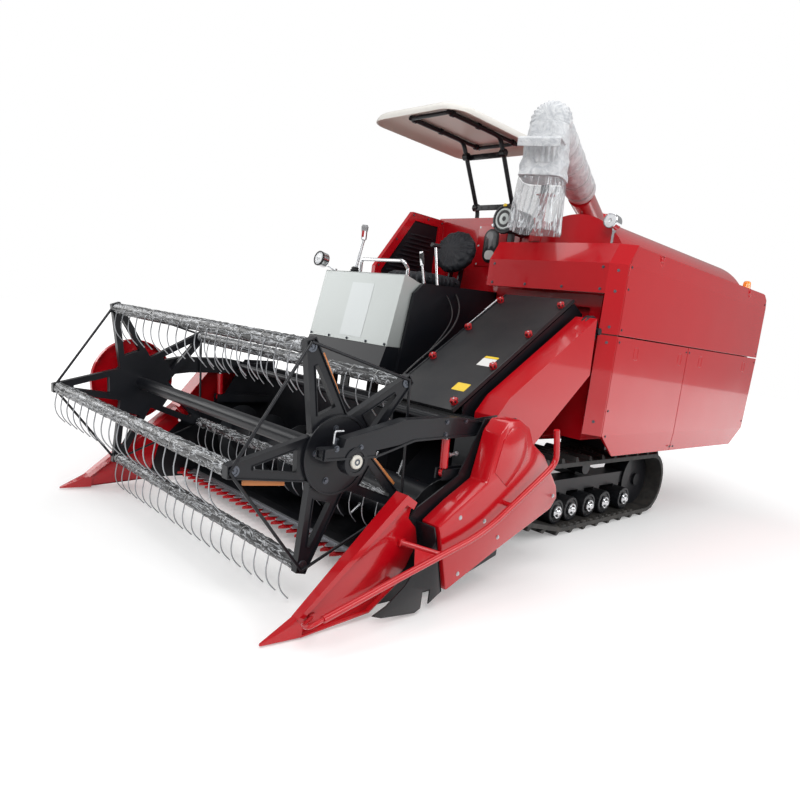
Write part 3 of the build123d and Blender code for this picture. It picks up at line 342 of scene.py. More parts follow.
def cover_cloth(name):
    """Thin black protective cover with a woven grain, a slight shine and painted shade in the hollows of
    its creases.
    """
    made, tree, shader = new_material(name)
    where = add_node(tree, "ShaderNodeTexCoord").outputs["Object"]
    weave = [add_node(tree, "ShaderNodeTexWave", {"Vector": where, "Scale": 220.0},
                      bands_direction=axis).outputs["Fac"]
             for axis in ("X", "Z")]
    cloth = add_node(tree, "ShaderNodeMath", {0: weave[0], 1: weave[1]}, operation="MULTIPLY")
    creases = add_node(tree, "ShaderNodeTexNoise",
                       {"Vector": where, "Scale": 24.0, "Detail": 4.0, "Distortion": 1.5})
    soft = add_node(tree, "ShaderNodeBump",
                    {"Strength": 0.6, "Distance": 0.008, "Height": creases.outputs["Fac"]})
    fine = add_node(tree, "ShaderNodeBump",
                    {"Strength": 0.2, "Distance": 0.0006, "Height": cloth.outputs[0],
                     "Normal": soft.outputs["Normal"]})
    # Painted shade: the black is darkest in the crease hollows.
    tint = blend_colour(tree, creases.outputs["Fac"], (0.008, 0.009, 0.012, 1), (0.024, 0.026, 0.032, 1))
    wired(tree, shader, Base_Color=tint, Roughness=0.5, Normal=fine.outputs["Normal"],
          Specular_IOR_Level=0.3)
    return made


def make_finishes(colours):
    """All materials, by the names of the record's slots and of the added fittings."""
    body, black = tuple(colours.body), tuple(colours.black)
    return {
        "red_paint": painted("body red paint", body, gloss=0.22, coat=0.55, dust=0.03, chips=0.03,
                             shine=0.3),
        "black_paint": painted("black paint", black, gloss=0.32, coat=0.12, dust=0.05, chips=0.12,
                               shine=0.25),
        "reel_paint": painted("reel black paint", black, gloss=0.34, coat=0.1, dust=0.02, chips=0.1,
                              shine=0.28),
        "lid_paint": painted("feeder lid paint", (0.008, 0.009, 0.012), gloss=0.40, coat=0.06, dust=0.07,
                             dust_top=4.0, shine=0.3),
        "silver_paint": painted("console silver paint", tuple(colours.console), gloss=0.32, coat=0.3,
                                dust=0.03, metal=0.35),
        "steel": plain_metal("dark spring steel", (0.10, 0.11, 0.13), gloss=0.32),
        "bright_steel": plain_metal("bright plated steel", (0.55, 0.56, 0.58), gloss=0.25),
        "chrome": plain_metal("chrome plate", (0.72, 0.73, 0.75), gloss=0.07, brushed=0.1, dust=0.03),
        "rubber": track_rubber("track rubber"),
        "canopy": moulded("canopy shell", tuple(colours.canopy), gloss=0.38, grain=0.1, dust=0.05),
        "black_plastic": moulded("black plastic", (0.010, 0.010, 0.012), gloss=0.38),
        "knob": moulded("red knob", (0.42, 0.006, 0.010), gloss=0.3, dust=0.03),
        "orange_lens": lens("amber lens", tuple(colours.lens)),
        "clear_lens": lens("clear lamp lens", (0.72, 0.74, 0.76)),
        "cover": cover_cloth("black seat cover"),
        "foam": foam_wrap("white foam wrap"),
        "film": packing_film("clear film", (0.80, 0.83, 0.86), see_through=0.80, crease=9.0,
                             stretch=(1, 1, 0.16), fold_and_highlight_opacity=0.75),
        # The bar film's pale streaks on its near-black base are painted highlights.
        "bar_film": packing_film("bar packing film", (0.60, 0.62, 0.65), see_through=0.0, crease=34.0,
                                 stretch=(0.16, 1, 1), under=0.05, fold_and_highlight_opacity=1.0),
        "wear_strip": moulded("orange wear strip", (0.62, 0.22, 0.06), gloss=0.45, dust=0.1),
        "yellow_label": moulded("blank yellow label", (0.80, 0.55, 0.02), gloss=0.3, grain=0.02, dust=0.03),
        "white_label": moulded("blank white label", (0.75, 0.75, 0.73), gloss=0.3, grain=0.02, dust=0.03),
        # Near-black matt finish put in holes, gaps and recesses: painted shade.
        "recess_shade": moulded("painted recess shade", (0.006, 0.006, 0.007), gloss=0.6),
        "tine_wire": plain_metal("spring tine wire", (0.36, 0.37, 0.39), gloss=0.25),
        "tie_string": moulded("tie string", (0.42, 0.42, 0.42), gloss=0.5),
        "rim_steel": plain_metal("bare rim steel", (0.42, 0.43, 0.46), gloss=0.30, brushed=0.5),
        "cap_white": moulded("cream bearing cap", (0.62, 0.60, 0.54), gloss=0.35, dust=0.05),
        "auger_steel": painted("auger black paint", (0.022, 0.024, 0.028), gloss=0.28, coat=0.2, dust=0.05,
                               shine=0.3),
        # Darker pinkish copy of the canopy colour for its underside: painted shade.
        "canopy_underside_shade": moulded("canopy underside painted shade", (0.62, 0.50, 0.44), gloss=0.45, grain=0.1, dust=0.03),
        "grip_grey": moulded("grey lever grip", (0.28, 0.28, 0.29), gloss=0.35, dust=0.03),
        "console_band": painted("console band", (0.50, 0.53, 0.53), gloss=0.30, coat=0.3, dust=0.03,
                                metal=0.35),
        "dark_glass": lens("dark sight glass", (0.03, 0.035, 0.04)),
        "guard_paint": painted("guard rail paint", body, gloss=0.22, coat=0.5, dust=0.03, chips=0.1,
                               shine=0.3),
        "door_paint": painted("door red paint", body, gloss=0.18, coat=0.75, dust=0.02, wave=0.25,
                              chips=0.0, shine=0.3),
    }


FINISH = {}
# Nodes that wear another finish than the one of their slot.
REPAINTED = {
    "reel_frame": "reel_paint", "reel_arms": "reel_paint", "feeder_lid": "lid_paint",
    "header_auger": "reel_paint", "levers": "chrome", "knife": "rim_steel",
}


def finish_nodes():
    """Gives every CAD node the material of its slot."""
    slot_of = {entry["node"]: entry["material_slot"] for entry in frame["record"]["subparts"]}
    for node, shown in frame["nodes"].items():
        material = FINISH[REPAINTED.get(node, slot_of[node])]
        shown.data.materials.clear()
        shown.data.materials.append(material)


# ---------------------------------------------------------------- stage

CAMERA_SPOT, CAMERA_LENS = (3.115, -3.988), 29.84
CAMERA_TURN, CAMERA_DROP, CAMERA_ROLL = (math.radians(angle) for angle in (44.64, 6.72, 7.47))


def add_area(name, place, aim, size, power):
    """Soft box lamp that points at a spot."""
    bpy.ops.object.light_add(type="AREA", location=place)
    lamp = bpy.context.object
    lamp.name = name
    lamp.data.shape = "RECTANGLE"
    lamp.data.size, lamp.data.size_y = size
    lamp.data.energy = power
    lamp.rotation_euler = (Vector(aim) - Vector(place)).to_track_quat("-Z", "Y").to_euler()


def make_camera(height):
    """Camera at the machine's left front corner, a little rolled."""
    level = math.cos(CAMERA_DROP)
    ahead = Vector((-math.sin(CAMERA_TURN) * level, math.cos(CAMERA_TURN) * level, -math.sin(CAMERA_DROP)))
    right = ahead.cross(Z).normalized()
    up = right.cross(ahead)
    tilted_right = right * math.cos(CAMERA_ROLL) + up * math.sin(CAMERA_ROLL)
    tilted_up = up * math.cos(CAMERA_ROLL) - right * math.sin(CAMERA_ROLL)
    bpy.ops.object.camera_add(location=(*CAMERA_SPOT, height))
    camera = bpy.context.object
    camera.data.lens = CAMERA_LENS
    turn = Matrix((tilted_right, tilted_up, -ahead)).transposed()
    camera.rotation_euler = turn.to_euler()
    bpy.context.scene.camera = camera


def camera_white(tree, shader, glow):
    """Adds a plain glow that only the camera, gloss and glass see, so that the surroundings look white."""
    path = add_node(tree, "ShaderNodeLightPath")
    seen = add_node(tree, "ShaderNodeMath",
                    {0: path.outputs["Is Camera Ray"], 1: path.outputs["Is Glossy Ray"]},
                    operation="MAXIMUM")
    both = add_node(tree, "ShaderNodeMath", {0: seen.outputs[0], 1: path.outputs["Is Transmission Ray"]},
                    operation="MAXIMUM")
    strength = add_node(tree, "ShaderNodeMath", {0: both.outputs[0], 1: glow}, operation="MULTIPLY")
    wired(tree, shader, Emission_Strength=strength.outputs[0])
    shader.inputs["Emission Color"].default_value = (1, 1, 1, 1)


def make_stage(height):
    """Camera, pale floor, white surroundings and soft lamps."""
    make_camera(height)
    bpy.ops.mesh.primitive_plane_add(size=60, location=(0, 0, 0))
    floor = bpy.context.object
    floor.name = "studio_floor"
    pale, tree, shader = new_material("studio floor")
    mottle = add_node(tree, "ShaderNodeTexNoise", {"Scale": 0.4, "Detail": 2.0})
    tint = blend_colour(tree, mottle.outputs["Fac"], (0.80, 0.80, 0.80, 1), (0.84, 0.84, 0.84, 1))
    wired(tree, shader, Base_Color=tint, Roughness=0.55)
    from_middle = add_node(tree, "ShaderNodeVectorMath",
                           {0: add_node(tree, "ShaderNodeTexCoord").outputs["Object"]}, operation="LENGTH")
    away = add_node(tree, "ShaderNodeMapRange", {"Value": from_middle.outputs["Value"], "From Min": 3.0,
                                                 "From Max": 9.0, "To Min": 0.22, "To Max": 0.9})
    camera_white(tree, shader, away.outputs[0])
    floor.data.materials.append(pale)

    world = bpy.data.worlds.new("studio")
    bpy.context.scene.world = world
    world.use_nodes = True
    tree = world.node_tree
    sky = tree.nodes["Background"]
    path = add_node(tree, "ShaderNodeLightPath")
    white = add_node(tree, "ShaderNodeMapRange",
                     {"Value": path.outputs["Is Camera Ray"], "To Min": 0.34, "To Max": 1.0})
    tree.links.new(white.outputs[0], sky.inputs["Strength"])
    sky.inputs["Color"].default_value = (1, 1, 1, 1)

    add_area("key_light", (4.5, -6.0, 6.5), (0, 0, 0.8), (5, 4), 420)
    add_area("side_light", (8.0, 2.5, 4.0), (0, 0.5, 1.0), (6, 3), 300)
    add_area("top_light", (-1.0, 0.5, 8.0), (0, 0, 0), (7, 7), 320)
    add_area("fill_light", (-7.0, -5.0, 4.0), (0, 0, 0.8), (5, 4), 160)
    bpy.context.scene.view_settings.view_transform = "Standard"


# ---------------------------------------------------------------- modelling helpers

def at(x, back, z):
    """Point from X, the distance behind the divider tips and the height, in millimetres."""
    return Vector((x, back - TIPS_AHEAD, z)) / 1000


def only(piece):
    """Selects one object and makes it the active one."""
    bpy.ops.object.select_all(action="DESELECT")
    piece.select_set(True)
    bpy.context.view_layer.objects.active = piece


def settle(piece, name, material, angle=30):
    """Names a new piece, gives it its finish and puts its place into its mesh."""
    only(piece)
    bpy.ops.object.transform_apply(location=True, rotation=True, scale=True)
    piece.name = piece.data.name = name
    piece.data.materials.clear()
    piece.data.materials.append(FINISH[material])
    bpy.ops.object.shade_smooth_by_angle(angle=math.radians(angle))
    return piece


def turned(name, material, start, axis, rings, sides=32):
    """Turned piece, drawn out from a disc by rings: a distance along the axis and a radius."""
    bpy.ops.object.select_all(action="DESELECT")
    aim, start = Vector(axis).normalized(), Vector(start)
    place, radius = rings[0]
    bpy.ops.mesh.primitive_circle_add(vertices=sides, radius=radius, fill_type="NGON",
                                      location=start + aim * place,
                                      rotation=aim.to_track_quat("Z", "Y").to_euler())
    piece = bpy.context.object
    bpy.ops.object.mode_set(mode="EDIT")
    bpy.ops.mesh.select_all(action="SELECT")
    for along, wide in rings[1:]:
        bpy.ops.mesh.extrude_region_move(TRANSFORM_OT_translate={"value": aim * (along - place)})
        bpy.ops.transform.resize(value=[wide / radius] * 3, center_override=start + aim * along)
        place, radius = along, wide
    bpy.ops.mesh.select_all(action="SELECT")
    bpy.ops.mesh.normals_make_consistent(inside=False)
    bpy.ops.object.mode_set(mode="OBJECT")
    return settle(piece, name, material)


def plate(name, material, outline, thickness, bevel=0.0, hollow=0.0):
    """Flat plate, or only its edge of a given width, from its outline and the vector of its thickness."""
    bpy.ops.object.select_all(action="DESELECT")
    bpy.ops.mesh.primitive_circle_add(vertices=len(outline), radius=1, fill_type="NGON")
    piece = bpy.context.object
    for vertex, place in zip(piece.data.vertices, outline):
        vertex.co = place
    bpy.ops.object.mode_set(mode="EDIT")
    bpy.ops.mesh.select_all(action="SELECT")
    if hollow:
        bpy.ops.mesh.inset(thickness=hollow)
        bpy.ops.mesh.delete(type="FACE")
        bpy.ops.mesh.select_all(action="SELECT")
    bpy.ops.mesh.extrude_region_move(TRANSFORM_OT_translate={"value": thickness})
    bpy.ops.mesh.select_all(action="SELECT")
    bpy.ops.mesh.normals_make_consistent(inside=False)
    if bevel:
        bpy.ops.mesh.bevel(offset=bevel, segments=2)
    bpy.ops.object.mode_set(mode="OBJECT")
    return settle(piece, name, material)


def rounded(middle, across, up, width, height, corner, steps=4):
    """Points of a rounded rectangle about a middle, from its two directions."""
    points = []
    for turn, (a, b) in enumerate(((1, 1), (-1, 1), (-1, -1), (1, -1))):
        for step in range(steps + 1):
            angle = math.radians(90 * (turn + step / steps))
            points.append(middle + across * (a * (width / 2 - corner) + corner * math.cos(angle))
                          + up * (b * (height / 2 - corner) + corner * math.sin(angle)))
    return points


def shaped(name, material, sides, cuts, shape, ends="NGON", angle=50):
    """Tube cut into rings, whose points go where shape(share along, angle round) puts them."""
    bpy.ops.object.select_all(action="DESELECT")
    bpy.ops.mesh.primitive_cylinder_add(vertices=sides, radius=1, depth=2, end_fill_type=ends)
    piece = bpy.context.object
    bpy.ops.object.mode_set(mode="EDIT")
    bpy.ops.mesh.select_mode(type="EDGE")
    bpy.ops.mesh.select_all(action="DESELECT")
    bpy.ops.object.mode_set(mode="OBJECT")
    mesh = piece.data
    for edge in mesh.edges:
        low, high = (mesh.vertices[end].co.z for end in edge.vertices)
        edge.select = abs(high - low) > 1
    bpy.ops.object.mode_set(mode="EDIT")
    if cuts:
        bpy.ops.mesh.subdivide(number_cuts=cuts)
    bpy.ops.mesh.select_mode(type="VERT")
    bpy.ops.object.mode_set(mode="OBJECT")
    for vertex in mesh.vertices:
        vertex.co = shape((vertex.co.z + 1) / 2, math.atan2(vertex.co.x, vertex.co.y))
    bpy.ops.object.mode_set(mode="EDIT")
    bpy.ops.mesh.select_all(action="SELECT")
    bpy.ops.mesh.normals_make_consistent(inside=False)
    bpy.ops.object.mode_set(mode="OBJECT")
    return settle(piece, name, material, angle)


def wire(name, material, points, radius, sides=2, steps=4):
    """Round wire, pipe or hose that follows the pull of its points."""
    bpy.ops.object.select_all(action="DESELECT")
    bpy.ops.curve.primitive_nurbs_path_add()
    line = bpy.context.object.data
    line.splines.clear()
    spline = line.splines.new("NURBS")
    spline.points.add(len(points) - 1)
    for point, place in zip(spline.points, points):
        point.co = (*place, 1)
    spline.order_u = 3
    spline.use_endpoint_u = True
    line.dimensions = "3D"
    line.resolution_u = steps
    line.bevel_depth = radius
    line.bevel_resolution = sides
    line.use_fill_caps = True
    bpy.ops.object.convert(target="MESH")
    return settle(bpy.context.object, name, material, 60)


def copy_of(piece, matrix):
    """Copy of a piece with its own mesh, moved by a matrix."""
    made = piece.copy()
    made.data = piece.data.copy()
    made.data.transform(matrix)
    bpy.context.collection.objects.link(made)
    return made


def joined(name, pieces):
    """One object out of several pieces."""
    bpy.ops.object.select_all(action="DESELECT")
    for piece in pieces:
        piece.select_set(True)
    bpy.context.view_layer.objects.active = pieces[0]
    if len(pieces) > 1:
        bpy.ops.object.join()
    made = bpy.context.view_layer.objects.active
    made.name = made.data.name = name
    return made


def repeated(name, model, places, normal=None):
    """Copies of a model at several places, turned from Z to a normal, as one object; the model goes."""
    turn = Vector(normal).to_track_quat("Z", "Y").to_matrix().to_4x4() if normal else Matrix()
    made = [copy_of(model, Matrix.Translation(place) @ turn) for place in places]
    bpy.data.objects.remove(model)
    return joined(name, made)


def bolts(name, body, normal, places, size=None, material="bright_steel"):
    """Hexagon bolts with washers, standing on a face."""
    size = size or bpy.context.scene.harvester_sizes.bolt
    washer = turned("washer", material, (0, 0, 0), Z, (
        (-0.001, size * 0.85), (size * 0.12, size * 0.85)), 16)
    head = turned("head", material, (0, 0, 0), Z, (
        (size * 0.1, size * 0.56), (size * 0.42, size * 0.56), (size * 0.5, size * 0.46)), 6)
    made = repeated(name, joined("bolt", [washer, head]), places, normal)
    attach(made, body)
    return made


def thickened(piece, thickness):
    """Gives a single skin a wall."""
    wall = piece.modifiers.new("wall", "SOLIDIFY")
    wall.thickness = thickness
    only(piece)
    bpy.ops.object.modifier_apply(modifier=wall.name)


def creased(where, scale, amount):
    """Small push in or out of a creased surface at a point."""
    first = noise.noise(where * scale)
    second = noise.noise(where * scale * 2.7 + Vector((7, 3, 1)))
    return amount * (abs(first) * -1.6 + 0.35 + second * 0.6)


def drawn(name, material, sections, angle=30):
    """Body drawn through cross sections that each list the same number of points."""
    count = len(sections[0])
    return shaped(name, material, count, len(sections) - 2, lambda share, turn: sections[
        round(share * (len(sections) - 1))][round(turn * count / (2 * math.pi)) % count], angle=angle)


# ---------------------------------------------------------------- reel

# Lengths are in millimetres and angles in degrees.
REEL_HUB = (410, 700)         # back and height of the reel's axis
BAR_REACH = 495               # from the axis to a tine bar
FIRST_ARM, ARM_STEP = -4.7, 72    # rise of the first spider arm ahead of the hub, and the turn to the next
BAR_ENDS = (-996, 926)        # X of a bar's ends
TIE_STEP = 186                # from one tie of a bar's film to the next
TINE_STEP = 0.1               # from one tine to the next, in metres
# Outer faces of the reel arms and of the spiders' hubs: X, way out and name.
ARM_FACES = ((1096, 1, "left"), (-1104, -1, "right"))
SPIDER_FACES = ((972, 1, "left"), (-1042, -1, "right"))
TINE_ROUTE = ((0, 0), (-22, 4), (-34, -12), (-38, -44), (-43, -84), (-34, -128), (-10, -165), (21, -193))


def tip_of(number):
    """Back and height of the bar that one pair of spider arms carries."""
    angle = math.radians(FIRST_ARM + ARM_STEP * number)
    return REEL_HUB[0] - BAR_REACH * math.cos(angle), REEL_HUB[1] + BAR_REACH * math.sin(angle)


def make_tine_bar(number, sizes):
    """One reel bar in its creased and tied packing film, with its row of curved spring tines."""
    back, z = tip_of(number)
    start, end = (at(x, back, z) for x in BAR_ENDS)

    def film(share, angle):
        x = start.lerp(end, share).x
        round_it = Vector((x * 9, math.cos(angle) * 0.5, math.sin(angle) * 0.5 + number * 3))
        tie = abs((x * 1000 + 1000 + number * 40) % TIE_STEP / (TIE_STEP / 2) - 1)
        pinch = 0.0016 * max(0, 1 - (1 - tie) * 30)
        radius = sizes.film_radius * 0.92 + creased(round_it, 4.0, 0.005) - pinch
        return Vector((x, start.y + radius * math.cos(angle), start.z + radius * math.sin(angle)))

    pieces = [shaped("bar_film", "bar_film", 20, 260, film)]
    thread = turned("thread", "tie_string", (0, 0, 0), X, (
        (-0.0012, 0.026), (-0.0012, sizes.film_radius * 0.98), (0.0012, sizes.film_radius * 0.98),
        (0.0012, 0.026)), 16)
    knots = [at(-1000 - number * 40 % TIE_STEP + TIE_STEP * place, back, z) for place in range(1, 11)]
    pieces.append(repeated("ties", thread, [spot for spot in knots if start.x < spot.x < end.x]))
    tine = wire("tine", "tine_wire", [at(0, back + a, z + b) for a, b in TINE_ROUTE], sizes.tine_wire, 1, 3)
    pieces.append(repeated("tines", tine, [X * (TINE_STEP * place - 0.935) for place in range(19)]))
    for x, way in zip(BAR_ENDS, (-1, 1)):
        pieces.append(turned("journal", "steel", at(x, back, z), X * way, (
            (-0.01, 0.02), (0.004, 0.02), (0.005, 0.0118), (0.034, 0.0118), (0.036, 0.010)), 24))
    bar = joined(f"dressed_bar_{number + 1}", pieces)
    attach(bar, f"tine_bar_{number + 1}")
    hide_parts(f"tine_bar_{number + 1}")


def make_reel_fittings():
    """Hub caps, bolts, pins and wear strips of the reel and its arms."""
    for x, side, name in SPIDER_FACES:
        hub = at(x - side * 8, *REEL_HUB)
        disc = turned(f"hub_rim_{name}", "reel_paint", hub, X * side, (
            (-0.002, 0.1782), (0.014, 0.1782), (0.0155, 0.1765), (0.0155, 0.1690), (0.014, 0.168),
            (0.010, 0.168)), 64)
        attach(disc, "reel")
        around = [at(x + side * 2, REEL_HUB[0] + 120 * math.cos(a), REEL_HUB[1] + 120 * math.sin(a))
                  for a in (math.radians(30 + ARM_STEP * n) for n in range(5))]
        bolts(f"hub_bolts_{name}", "reel", X * side, around, 0.018, "steel")
        tips = [at(x - side * 8, *tip_of(n)) for n in range(5)]
        cap = turned("tip_cap", "steel", (0, 0, 0), Z, (
            (-0.004, 0.0235), (0.003, 0.0235), (0.004, 0.0225), (0.004, 0.0145), (0.001, 0.0135),
            (0.001, 0.004), (0.005, 0.004)), 24)
        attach(repeated(f"tip_caps_{name}", cap, tips, X * side), "reel")
    for x, side, name in ARM_FACES:
        cap = turned(f"bearing_cap_{name}", "cap_white", at(x, *REEL_HUB), X * side, (
            (-0.002, 0.030), (0.010, 0.030), (0.014, 0.027), (0.015, 0.020), (0.013, 0.017),
            (0.012, 0.014)), 40)
        middle = turned("cap_middle", "steel", at(x, *REEL_HUB), X * side, (
            (0.0, 0.0145), (0.013, 0.0145), (0.013, 0.007), (0.008, 0.006), (0.008, 0.002)), 24)
        cap = joined(f"bearing_cap_{name}", [cap, middle])
        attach(cap, "reel_arms")
    strips = []
    for number, aside in ((0, 1), (1, -1), (3, 1)):
        rise = math.radians(FIRST_ARM + ARM_STEP * number)
        ray = Vector((0, -math.cos(rise), math.sin(rise)))
        across = Vector((0, -ray.z, ray.y)) * aside
        foot = at(931, *REEL_HUB) + ray * 0.24 + across * 0.082
        head = at(931, *REEL_HUB) + ray * 0.44 + across * 0.048
        wide = across * 0.026
        corners = (foot, head, head + wide, foot + wide)
        strips.append(plate("strip", "wear_strip", corners, X * 0.005, 0.0015))
    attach(joined("wear_strips", strips), "reel")
    pins = []
    for face, side, _ in ARM_FACES:
        x = face - side * 24
        pins.append(wire("lock_pin", "bright_steel", [at(x, 300, 775), at(x, 300, 815), at(x, 302, 828),
                                                      at(x, 320, 828), at(x, 345, 828)], 0.004, 2, 5))
        pins.append(turned("clamp", "steel", at(x - 22, 330, 760), Z, (
            (0.0, 0.014), (0.03, 0.014), (0.034, 0.010)), 6))
    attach(joined("lock_pins", pins), "reel_arms")
    faces = [at(1096, back, z) for back, z in ((300, 760), (960, 862), (960, 800), (1100, 865), (430, 760))]
    bolts("arm_bolts", "reel_arms", X, faces, 0.016, "steel")


# ---------------------------------------------------------------- header

AUGER_AXIS = (1160, 340)
FLIGHT_PITCH, FLIGHT_FOOT, FLIGHT_DEPTH = 0.36, 0.125, 0.094


def make_auger():
    """Header auger with two curled flights and its retracting fingers."""
    axis = at(0, *AUGER_AXIS)
    middle = 0.53
    parts = [turned("drum", "reel_paint", axis - X * 1.108, X, (
        (0.0, 0.127), (0.003, 0.130), (2.213, 0.130), (2.216, 0.127)), 48)]
    parts.append(turned("shaft", "steel", axis - X * 1.118, X, ((0.0, 0.025), (2.236, 0.025)), 20))
    for low, high, hand in ((-1.104, middle - 0.22, 1), (middle + 0.22, 1.104, -1)):
        turns = (high - low) / FLIGHT_PITCH
        bpy.ops.object.select_all(action="DESELECT")
        bpy.ops.mesh.primitive_grid_add(x_subdivisions=int(turns * 30), y_subdivisions=1, size=2)
        flight = bpy.context.object
        for vertex in flight.data.vertices:
            share, out = (vertex.co.x + 1) / 2, (vertex.co.y + 1) / 2
            angle = hand * share * turns * 2 * math.pi
            radius = FLIGHT_FOOT + out * FLIGHT_DEPTH
            x = low + share * (high - low)
            vertex.co = axis + Vector((x, radius * math.cos(angle), radius * math.sin(angle)))
        thickened(flight, 0.004)
        parts.append(settle(flight, "flight", "auger_steel", 40))
    for number in range(10):
        angle = math.radians(72 * number)
        out = Vector((0, math.cos(angle), math.sin(angle)))
        foot = axis + X * (middle - 0.19 + 0.042 * number)
        parts.append(turned("finger", "bright_steel", foot, out, (
            (0.12, 0.014), (0.134, 0.014), (0.135, 0.0075), (0.205, 0.0075), (0.209, 0.005)), 12))
    auger = joined("dressed_auger", parts)
    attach(auger, "auger")
    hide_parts("header_auger")


LID_UP, LID_OUT = Vector((0, 1050, 723)).normalized(), Vector((0, -723, 1050)).normalized()
LID_SIDES, LID_LENGTH = (262, 798), 1270


def lid_point(x, along, lift):
    """Point over the feeder's lid, from X, the way up its slope and the height off it, in millimetres."""
    return at(x, 1335, 862) + (LID_UP * along + LID_OUT * lift) / 1000


def make_lid_fittings():
    """Star knobs, blank labels and the edge strips of the feeder's lid."""
    def star(share, angle):
        radius = (0.021 + 0.0042 * math.cos(6 * angle)) * (0.86 if share in (0, 1) else 1)
        return Vector((radius * math.cos(angle), radius * math.sin(angle), 0.008 + 0.022 * share))

    knob = joined("knob", [
        shaped("star", "knob", 48, 3, star),
        turned("boss", "knob", (0, 0, 0), Z, ((-0.001, 0.0215), (0.009, 0.0215)), 32),
        turned("stud", "bright_steel", (0, 0, 0), Z, ((0.029, 0.006), (0.033, 0.006), (0.034, 0.004)), 12)])
    places = [lid_point(x, along, 0) for x in (290, 770) for along in (60, 430, 800, 1170)]
    knobs = repeated("lid_knobs", knob, places, LID_OUT)
    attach(knobs, "header")
    labels = []
    for name, x, along, width, height in (
            ("yellow_label", 700, 205, 95, 72), ("white_label", 688, 470, 100, 78),
            ("yellow_label", 688, 522, 100, 20)):
        middle = lid_point(x, along, 0.2)
        labels.append(plate("label", name, rounded(middle, X, LID_UP, width / 1000, height / 1000, 0.004),
                            LID_OUT * 0.001))
    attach(joined("lid_labels", labels), "header")
    edges = []
    for x in LID_SIDES:
        corners = [lid_point(x + aside, along, 0) for aside, along in (
            (-5, 2), (5, 2), (5, LID_LENGTH), (-5, LID_LENGTH))]
        edges.append(plate("edge", "black_paint", corners, LID_OUT * 0.006, 0.002))
    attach(joined("lid_edges", edges), "header")


# ---------------------------------------------------------------- sheet metal of the header and the body

# Outlines seen from the left: back and height of each corner.
FAIRING = ((930, 86), (842, 356), (818, 412), (960, 503), (1130, 592), (1182, 830), (1235, 892),
           (1330, 898), (1425, 855), (1480, 770), (1601, 702), (1767, 520), (1790, 455), (1740, 395),
           (1293, 230))
GUARD_RAIL = 1300             # X of the guard rail
HUMP = ((1175, 640), (1210, 800), (1262, 858), (1330, 860), (1392, 826), (1440, 700), (1290, 560))
REEL_ARM = ((1300, 800), (1300, 850), (1030, 885), (682, 876), (520, 838), (340, 800), (330, 765),
            (237, 760), (237, 712), (520, 712), (752, 775), (1166, 788))
DRIVE_END = ((480, 60), (535, 40), (745, 15), (783, 30), (783, 112), (832, 112), (832, 40), (916, 84),
             (832, 346), (806, 410), (826, 335), (800, 300), (740, 255), (660, 160), (560, 90))
DIVIDER_SHEET = ((120, 16), (150, 82), (680, 534), (752, 500), (738, 428), (795, 375), (818, 300),
                 (760, 190), (540, 30), (168, 8))
DIVIDER_FLANGE = ((175, 8), (540, 30), (700, 136), (696, 142), (537, 37), (175, 16))


def side_points(x, outline):
    """Points of an outline seen from the side, at one X."""
    return [at(x, back, z) for back, z in outline]


def make_dividers():
    """Crop dividers of folded sheet with their rails, closed tips and bolts."""
    rails = (((150, 88), (538, 458), 1118, 1108, 22), ((688, 546), (0.994, 0.106), 1086, 1066, 46),
             ((757, 506), (69, -40), 1088, 1070, 36))
    for side, name in ((1, "left"), (-1, "right")):
        parts = [plate("sheet", "red_paint", side_points(side * 1128, outline), X * side * width, bevel)
                 for outline, width, bevel in (
                     (DIVIDER_SHEET, 0.008, 0.0015), (DIVIDER_FLANGE, 0.032, 0.001))]
        sections = []
        for (back, z), slope, top, bevel, lip in rails:
            ahead = Vector((0, *slope)).normalized()
            down = Vector((0, ahead.z, -ahead.y))
            sections.append([at(0, back, z) + X * side * (x / 1000) + down * (drop / 1000) for x, drop in (
                (1160, lip), (1160, 0), (top, 0), (bevel, 22), (bevel + 5, 29), (top + 3, 8), (1152, 8),
                (1152, lip))])
        parts.append(drawn("rail", "red_paint", sections, 20))
        tip = [[at(side * (1134 + x), back, z) for x, z in outline] for back, outline in (
            (180, ((-26, 10), (26, 10), (26, 80), (18, 104), (-14, 104), (-26, 84))),
            (0, ((-4, 9), (4, 9), (4, 15), (3, 18), (-3, 18), (-4, 15))))]
        parts.append(drawn("tip", "red_paint", tip, 20))
        divider = joined(f"divider_{name}", parts)
        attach(divider, "header")
        if side == 1:
            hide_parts("dividers")
        spots = [(215, 60), (420, 60), (600, 110), (640, 440), (430, 290)]
        bolts(f"divider_bolts_{name}", "header", X * side, [at(side * 1136, *spot) for spot in spots],
              0.012, "steel")


def make_drive_covers():
    """Red fairing over the left drive, with its raised hump, and the black end before it."""
    cover = plate("cover", "red_paint", side_points(1140, FAIRING), X * 0.115, 0.012)
    hump = plate("hump", "red_paint", side_points(1250, HUMP), X * 0.009, 0.003)
    fairing = joined("drive_fairing", [cover, hump])
    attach(fairing, "header")
    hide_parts("side_fairing_left")
    bolts("fairing_bolts", "header", X, [at(1255, *spot) for spot in (
        (1000, 160), (960, 440), (1280, 300), (1640, 600), (1740, 470), (1150, 400))], 0.013,
        "bright_steel")
    end = plate("end", "black_paint", side_points(1234, DRIVE_END), X * 0.008, 0.002)
    edge = plate("edge", "black_paint", side_points(1127, (
        (916, 84), (832, 346), (806, 410), (800, 404), (824, 344), (907, 82))), X * 0.115, 0.001)
    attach(joined("drive_end", [end, edge]), "header")


